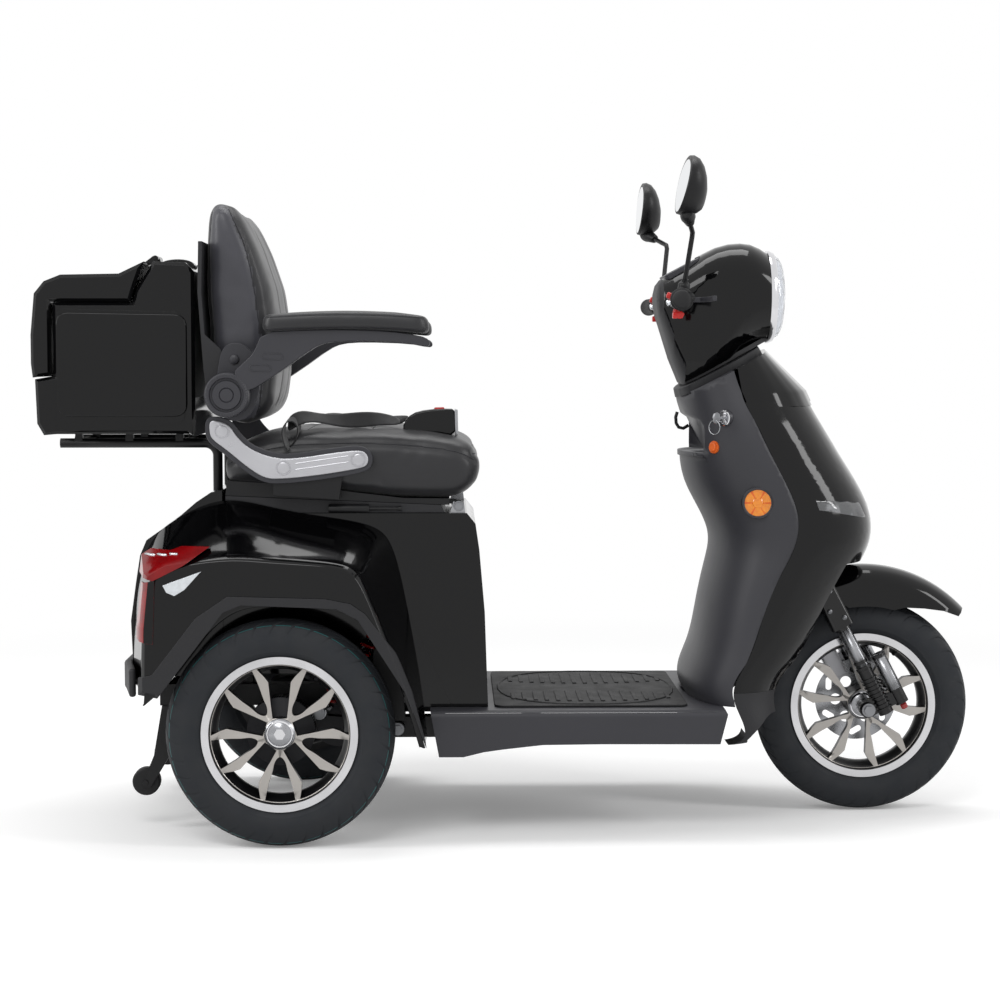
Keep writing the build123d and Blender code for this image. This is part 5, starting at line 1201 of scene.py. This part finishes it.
# light bar over the nose: a brushed backing strip under a clear cover, each with its rise off the body
lightBar = dict(start=0.26, top=(620, 606), foot=(601, 566), steps=26,
                layers={"backing": (0.5, "bright_steel"), "cover": (3.4, "clear_lens")})
for layer, (offset, slot) in lightBar["layers"].items():
    shape = bmesh.new()
    rows = []
    for number in range(-lightBar["steps"], lightBar["steps"] + 1):
        t = abs(number) / lightBar["steps"]
        a = lightBar["start"] + (1 - lightBar["start"]) * math.cos(t * math.pi / 2)
        low, high = (pair[1] + (pair[0] - pair[1]) * t for pair in (lightBar["foot"], lightBar["top"]))
        row = []
        for height, out in ((low, -1), (low, offset * 0.6), (low + 3, offset), (high - 3, offset),
                            (high, offset * 0.6), (high, -1)):
            rear, edge, nose, half = bodyAt(height)
            y = math.copysign(share(frontBody["ahead"], a) * half + out * t, number)
            station = edge + a * (nose - edge) + out * (1 - t * 0.6)
            row.append(shape.verts.new(at(station, y if number else 0, height)))
        rows.append(row)
    for one, two in zip(rows, rows[1:]):
        for i in range(6):
            shape.faces.new((one[i], one[(i + 1) % 6], two[(i + 1) % 6], two[i]))
    shape.faces.new(rows[0])
    shape.faces.new(rows[-1][::-1])
    faceOut(shape)
    finishPiece(shape, "front_light_bar." + layer, "chassis", slot,
                ["front_light_bar"] if layer == "cover" else (), smooth=40)

# amber reflectors: dark ring, six sectors
reflector = dict(face=[(0, 2.6), (9, 2.6), (10, 1.8), (24.5, 1.8), (25, 0), (0, 0)], bar=(5, 57), hubMm=9.5,
                 ring=[(24.6, 0), (24.6, 2.6), (26, 3.6), (28.6, 3.4), (29.6, 2), (29.6, -6), (24.6, -6)])
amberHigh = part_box("side_reflectors")[1]
for side, hand in sides:
    spot = boxMiddle("side_reflectors")
    spot = Vector((spot.x, side * amberHigh[1], spot.z))
    way = Vector((-0.12, side, 0.0)).normalized()
    spot -= way * 0.0035
    shape = spin(reflector["face"], spot, way, 72)
    for face in shape.faces:
        # narrow dark bars between the sectors
        local = face.calc_center_median() - spot
        turn = math.degrees(math.atan2(local.z, local.x)) % 60
        inBar = turn < reflector["bar"][0] or turn > reflector["bar"][1]
        if inBar and local.length * 1000 > reflector["hubMm"]:
            face.material_index = 1
    finishPiece(shape, f"side_reflector_{hand}.face", "chassis", "amber_lens",
                ["side_reflectors"] if side < 0 else (), parts=["amberAcrylic", "orangeCap"], smooth=30)
    shape = spin(reflector["ring"], spot, way, 72, closed=True)
    finishPiece(shape, f"side_reflector_{hand}.ring", "chassis", "trim_plastic")
print("reflectors made")

# ignition lock with key and ring, bag hook and charging socket cap
ignition = dict(
    place=(418, -163, 771), out=(-0.72, -0.69, 0),
    barrel=[(15, -10), (15, 1.5), (13.6, 3), (10.4, 3), (9.6, 1), (8.8, 1), (8.4, 3.4), (2, 3.4), (2, 2),
            (0, 2)],
    # the key's outline as (distance from the lock, height)
    key=[(2, -2), (2, 2), (12, 2.4), (14, 8), (20, 11), (29, 9), (33, 2), (31, -8), (24, -11), (15, -8),
         (12, -2.4)],
    ringRadius=13, ringSteps=36)
lockOut = Vector(ignition["out"]).normalized()
lockFace = at(*ignition["place"]) + lockOut * 0.006
finishPiece(spin(ignition["barrel"], lockFace, lockOut, 56), "ignition_lock.barrel", "chassis",
            "chrome_plate", ["ignition_lock"])
keySide = lockOut.cross(Vector((0, 0, 1))).normalized()
shape = slab([lockFace + lockOut * d / 1000 + Vector((0, 0, z / 1000)) for d, z in ignition["key"]],
             -keySide * 0.0015, keySide * 0.003, 0.8)
finishPiece(shape, "ignition_key", "chassis", "chrome_plate", finish="brushedSteel", even=True)
ringMiddle = lockFace + lockOut * 0.028 + Vector((0, 0, -0.017))
ringTurns = [math.tau * n / ignition["ringSteps"] for n in range(ignition["ringSteps"] + 2)]
ringSize = ignition["ringRadius"] / 1000
ringPlaces = [ringMiddle + (Vector((0, 0, math.cos(turn))) + keySide * math.sin(turn)) * ringSize
              for turn in ringTurns]
finishPiece(tube(ringPlaces, 0.9, 10, ends=False), "key_ring", "chassis", "chrome_plate",
            finish="brushedSteel", smooth=180)
hook = ((366, 0, 752), (356, 0, 746), (347, 0, 748), (342, 0, 756), (341, 0, 768), (344, 0, 778))
finishPiece(tube([at(*p) for p in hook], 3.2, 12), "bag_hook", "chassis", "trim_plastic",
            finish="powderCoat", smooth=180)
cap = spin([(0, 4), (7, 4), (8.6, 2.8), (9, 0), (11.5, 0), (12, -1.6), (12, -6), (0, -6)], at(396, -150, 716),
           Vector((-0.78, -0.62, 0.1)), 32)
finishPiece(cap, "socket_cap", "chassis", "trim_plastic", finish="orangeCap")
print("lock, hook and socket made")

# how far each fork leg stands off the middle plane
forkSide = 75.0
# fastener heads: place, direction, radius, hexagonal or domed
fasteners = {"steering": [], "chassis": []}
for side in (-1, 1):
    away = Vector((0, side, 0))
    fasteners["steering"].append((frontCentre + away * 0.0915, away, 9.5, True))
    for along, ahead in ((205, -10), (240, 8), (182, 10)):
        fasteners["steering"].append((steerAt(along, ahead, side * 93.4), away, 5.0, False))
    for station, out, height, radius in ((-81, 203, 610, 7.0), (-215, 249, 400, 8.0), (-338, 249, 232, 8.0),
                                         (-195, 191, 192, 8.5)):
        fasteners["chassis"].append((at(station, side * out, height), away, radius, True))
for body, heads in fasteners.items():
    shape = bmesh.new()
    for place, way, radius, sixSided in heads:
        (hexHead if sixSided else screwHead)(place, way, radius, shape=shape)
    finishPiece(shape, f"fasteners_{body}", body, "bright_steel", finish="zincSteel")

# fork legs: cooling fins, collars, and on the reservoir a band and a red knob
forkTrim = dict(
    fins=9, first=-14.0, pitch=8.0, fin=[(14.3, 0), (17.2, 0.8), (17.2, 3.4), (14.3, 4.2)],
    collars=[(72, 16.2), (158, 15.4), (84, 14.2)], reservoir=36,
    band=[(12.8, 0), (14.6, 0.6), (14.6, 6), (12.8, 6.6)],
    knob=[(0, -13), (5, -13), (6.6, -11.6), (6.6, -4), (5, -2), (5, 2), (0, 2)])
fins, knobs, collars = bmesh.new(), bmesh.new(), bmesh.new()
for side in (-1, 1):
    out = side * forkSide
    for number in range(forkTrim["fins"]):
        along = forkTrim["first"] + number * forkTrim["pitch"]
        spin(forkTrim["fin"], steerAt(along, 0, out), steerUp, 36, closed=True, shape=fins)
    for along, radius in forkTrim["collars"]:
        spin([(12.6, 0), (radius, 0.8), (radius, 6.2), (12.6, 7)], steerAt(along, 0, out), steerUp, 36,
             closed=True, shape=collars)
    spin(forkTrim["knob"], steerAt(-20, forkTrim["reservoir"], out), steerUp, 24, shape=knobs)
    spin(forkTrim["band"], steerAt(80, forkTrim["reservoir"], out), steerUp, 36, closed=True, shape=collars)
for shape, name, slot in ((fins, "fork_fins", "fork_enamel"), (collars, "fork_collars", "fork_enamel"),
                          (knobs, "damper_knobs", "spring_enamel")):
    finishPiece(shape, name, "steering", slot)

# floor mat: raised bars in the pattern of two feet
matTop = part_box("floor_mat")[1][2] * 1000
pattern = dict(bars=15, first=22, pitch=21, barHalf=4, footOut=108, footHalf=62, sink=0.3, rise=2.2,
               rim=[(-4, -206), (334, -206), (334, 206), (-4, 206)])
mat = bmesh.new()
for side in (-1, 1):
    for number in range(pattern["bars"]):
        station = pattern["first"] + number * pattern["pitch"]
        half = pattern["footHalf"] * math.sin(math.pi * (number + 2.2) / 18) ** 0.6
        corners = [(station + a * pattern["barHalf"], side * pattern["footOut"] + b * half)
                   for a, b in ((-1, -1), (1, -1), (1, 1), (-1, 1))]
        slab([at(s, y, matTop - pattern["sink"]) for s, y in corners], Vector((0, 0, 0)),
             Vector((0, 0, pattern["rise"] / 1000)), 0.8, mat, 1)
ring = [at(x, y, matTop) for x, y in softened(pattern["rim"], 3)]
tube(ring + ring[:2], 2.0, 8, mat, ends=False)
finishPiece(mat, "floor_mat.pattern", "chassis", "mat_rubber")
print("small parts made")

# trunk: its floor raised off the rack, with a swelled panel on each side
trunk = dict(floorLift=0.012, floorBelow=0.740, panel=[(-812, 776), (-576, 776), (-576, 962), (-812, 966)],
             corner=24.0, thick=5.0, round=4.5)


def roundCorners(points, radius, steps=6):
    # a closed outline with each corner turned into an arc-like curve
    made = []
    for i, here in enumerate(points):
        here, before, after = Vector(here), Vector(points[i - 1]), Vector(points[(i + 1) % len(points)])
        first = here + (before - here).normalized() * radius
        last = here + (after - here).normalized() * radius
        made += [(first * (1 - t) ** 2 + here * 2 * t * (1 - t) + last * t ** 2).to_tuple()
                 for t in (n / steps for n in range(steps + 1))]
    return made


shape = mergedCopy("trunk_base")
for vert in shape.verts:
    if vert.co.z < trunk["floorBelow"]:
        vert.co.z += trunk["floorLift"]
softEdges(flatJoined(shape), 3.0, 3)
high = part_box("trunk_base")[1]
for side in (-1, 1):
    sideSlab(roundCorners(trunk["panel"], trunk["corner"]), side * (high[1] * 1000 - 1.5),
             side * trunk["thick"], trunk["round"], shape, 4)
finishPiece(shape, "trunk_base.shell", "chassis", "body_plastic", ["trunk_base"], even=True)

# tail lamps: red lens over the corner, black below its stripe, and bright silver strokes laid on the lens as
# a painted highlight
lampShape = roundedCopy("tail_lamps", 1.0)
for face in lampShape.faces:
    place = face.calc_center_median() * 1000
    if place.z < 486 and place.x - zeroX > -634 and abs(face.normal.y) > 0.5:
        face.material_index = 1
lampTree = BVHTree.FromBMesh(lampShape)
finishPiece(lampShape, "tail_lamps.lens", "chassis", "red_lens", ["tail_lamps"], even=True,
            parts=["redAcrylic", "glossBlackAbs"])
# painted highlight: short bright silver tubes laid on the outside of the lens, where a streak of reflected
# light falls
paintedHighlight = bmesh.new()
for side in (-1, 1):
    for first, last, height in ((-648, -628, 529), (-622, -604, 531), (-598, -584, 533)):
        starts = [at(first + (last - first) * t, side * 420, height) for t in (0, 0.5, 1)]
        places = metBy(lampTree, starts, (0, -side, 0))
        if len(places) == 3:
            tube(places, 2.6, 8, paintedHighlight)
finishPiece(paintedHighlight, "tail_lamps.guides", "chassis", "red_lens", finish="lampSilverAndPaintedHighlight", smooth=180)

# trunk: hinge covers on its hump, a lock under the reflector, and lugs on the rack tubes
trunkTrim = dict(
    hinge=[(-640, 1050), (-628, 1062), (-600, 1066), (-574, 1062), (-566, 1048), (-590, 1040), (-625, 1040)],
    lock=[(0, 3.6), (5, 3.6), (6, 2.4), (11, 2.4), (12, 1.2), (12.4, 0), (12.4, -3), (0, -3)],
    lugs=(-795, -700, -606))
shape = bmesh.new()
for side in (-1, 1):
    sideSlab(softened(trunkTrim["hinge"], 2), side * 108, side * 44, 4.0, shape, 3)
finishPiece(shape, "trunk_hinge_covers", "chassis", "body_plastic", even=True)
lock = spin(trunkTrim["lock"], at(-861, 0, 862), (-1, 0, 0), 32)
finishPiece(lock, "trunk_lock", "lid", "chrome_plate")
shape = bmesh.new()
for side in (-1, 1):
    for station in trunkTrim["lugs"]:
        sideSlab([(station - 9, 718), (station + 9, 718), (station + 6, 744), (station - 6, 744)], side * 92,
                 side * 16, 1.5, shape)
finishPiece(shape, "rack_lugs", "chassis", "black_steel", even=True)

# seat latch under the cushion on each side: a cylinder and its slide
latch = dict(place=(-320, 213, 606), cylinder=[(0, 0), (7.5, 0), (8.4, 1.2), (8.4, 72), (7.5, 74), (0, 74)],
             slide=[(0, 74), (3.4, 74), (3.4, 128), (4.6, 128), (4.6, 134), (0, 134)])
shape = bmesh.new()
for side in (-1, 1):
    place = at(latch["place"][0], side * latch["place"][1], latch["place"][2])
    spin(latch["cylinder"], place, (1, 0, 0), 28, shape=shape)
    spin(latch["slide"], place, (1, 0, 0), 16, shape=shape)
finishPiece(shape, "seat_latch", "chassis", "black_steel")
print("trunk and seat trim made")

# stage: pale floor, soft light and camera
stage = dict(floorSize=60.0, fadeStart=1.6, fadeEnd=3.2, worldStrength=0.5, lift=0.16)
floorMesh = bmesh.new()
bmesh.ops.create_grid(floorMesh, x_segments=1, y_segments=1, size=stage["floorSize"] / 2)
floorData = bpy.data.meshes.new("floor")
floorMesh.to_mesh(floorData)
floorMesh.free()
floor = addObject("floor", floorData)
paper, tree, shader = newMaterial("paleFloor")
coords = addNode(tree, "ShaderNodeTexCoord").outputs["Object"]
distance = addNode(tree, "ShaderNodeVectorMath", {"operation": "LENGTH"}, {0: coords})
fade = addNode(tree, "ShaderNodeMapRange", {"From Min": stage["fadeStart"], "From Max": stage["fadeEnd"],
                                            "interpolation_type": "SMOOTHSTEP"},
               {"Value": distance.outputs["Value"]})
white = addNode(tree, "ShaderNodeEmission", {"Color": (1, 1, 1, 1), "Strength": 1.0})
# seen directly, the paper glows a little, so that it reads as near white around the shadow
direct = addNode(tree, "ShaderNodeLightPath").outputs["Is Camera Ray"]
glow = addNode(tree, "ShaderNodeMath", {"operation": "MULTIPLY", 1: stage["lift"]}, {0: direct})
fill(tree, shader, {"Base Color": linear("fafafa"), "Roughness": 0.9, "Specular IOR Level": 0.0,
                    "Emission Color": (1, 1, 1, 1)}, {"Emission Strength": glow.outputs[0]})
mix = addNode(tree, "ShaderNodeMixShader", {},
              {0: fade.outputs[0], 1: shader.outputs[0], 2: white.outputs[0]})
tree.links.new(mix.outputs[0], tree.nodes["Material Output"].inputs["Surface"])
floorData.materials.append(paper)

world = bpy.data.worlds.new("paleStudio")
bpy.context.scene.world = world
world.use_nodes = True
tree = world.node_tree
rays = addNode(tree, "ShaderNodeLightPath")
seen = addNode(tree, "ShaderNodeMath", {"operation": "MAXIMUM"},
               {0: rays.outputs["Is Camera Ray"], 1: rays.outputs["Is Transmission Ray"]})
shiny = addNode(tree, "ShaderNodeMath", {"operation": "MAXIMUM"},
                {0: seen.outputs[0], 1: rays.outputs["Is Glossy Ray"]})
plain = fill(tree, tree.nodes["Background"], {"Color": (1, 1, 1, 1), "Strength": stage["worldStrength"]})
shown = addNode(tree, "ShaderNodeBackground", {"Color": (1, 1, 1, 1), "Strength": 1.0})
mix = addNode(tree, "ShaderNodeMixShader", {},
              {0: shiny.outputs[0], 1: plain.outputs[0], 2: shown.outputs[0]})
tree.links.new(mix.outputs[0], tree.nodes["World Output"].inputs["Surface"])

# name: place, aim, size, power
lamps = {
    "keyPanel": ((-1.4, -3.2, 3.6), (0, 0, 0.6), (2.4, 1.2), 55.0),
    "frontPanel": ((3.6, -1.6, 2.2), (0, 0, 0.6), (0.8, 2.2), 45.0),
    "rearPanel": ((-3.4, -0.8, 2.2), (0, 0, 0.7), (0.8, 2.2), 40.0),
    "topPanel": ((0.0, 0.6, 3.8), (0, 0, 0.6), (3.0, 1.2), 50.0),
}
for name, (place, aim, size, power) in lamps.items():
    light = bpy.data.lights.new(name, "AREA")
    light.shape = "RECTANGLE"
    light.size, light.size_y = size
    light.energy = power
    holder = addObject(name, light)
    holder.location = place
    holder.rotation_euler = (Vector(aim) - Vector(place)).to_track_quat("-Z", "Y").to_euler()

view = dict(place=(-0.12, -4.15, 0.89), pitchDown=3.9, turnRight=1.32, lensMm=77.112, sensorMm=36.0)
cameraData = bpy.data.cameras.new("camera")
cameraData.sensor_width = view["sensorMm"]
cameraData.lens = view["lensMm"]
camera = addObject("camera", cameraData)
camera.location = view["place"]
camera.rotation_euler = (math.radians(90 - view["pitchDown"]), 0, -math.radians(view["turnRight"]))
bpy.context.scene.camera = camera
bpy.context.scene.view_settings.view_transform = "Standard"
print("stage, lamps and camera made")
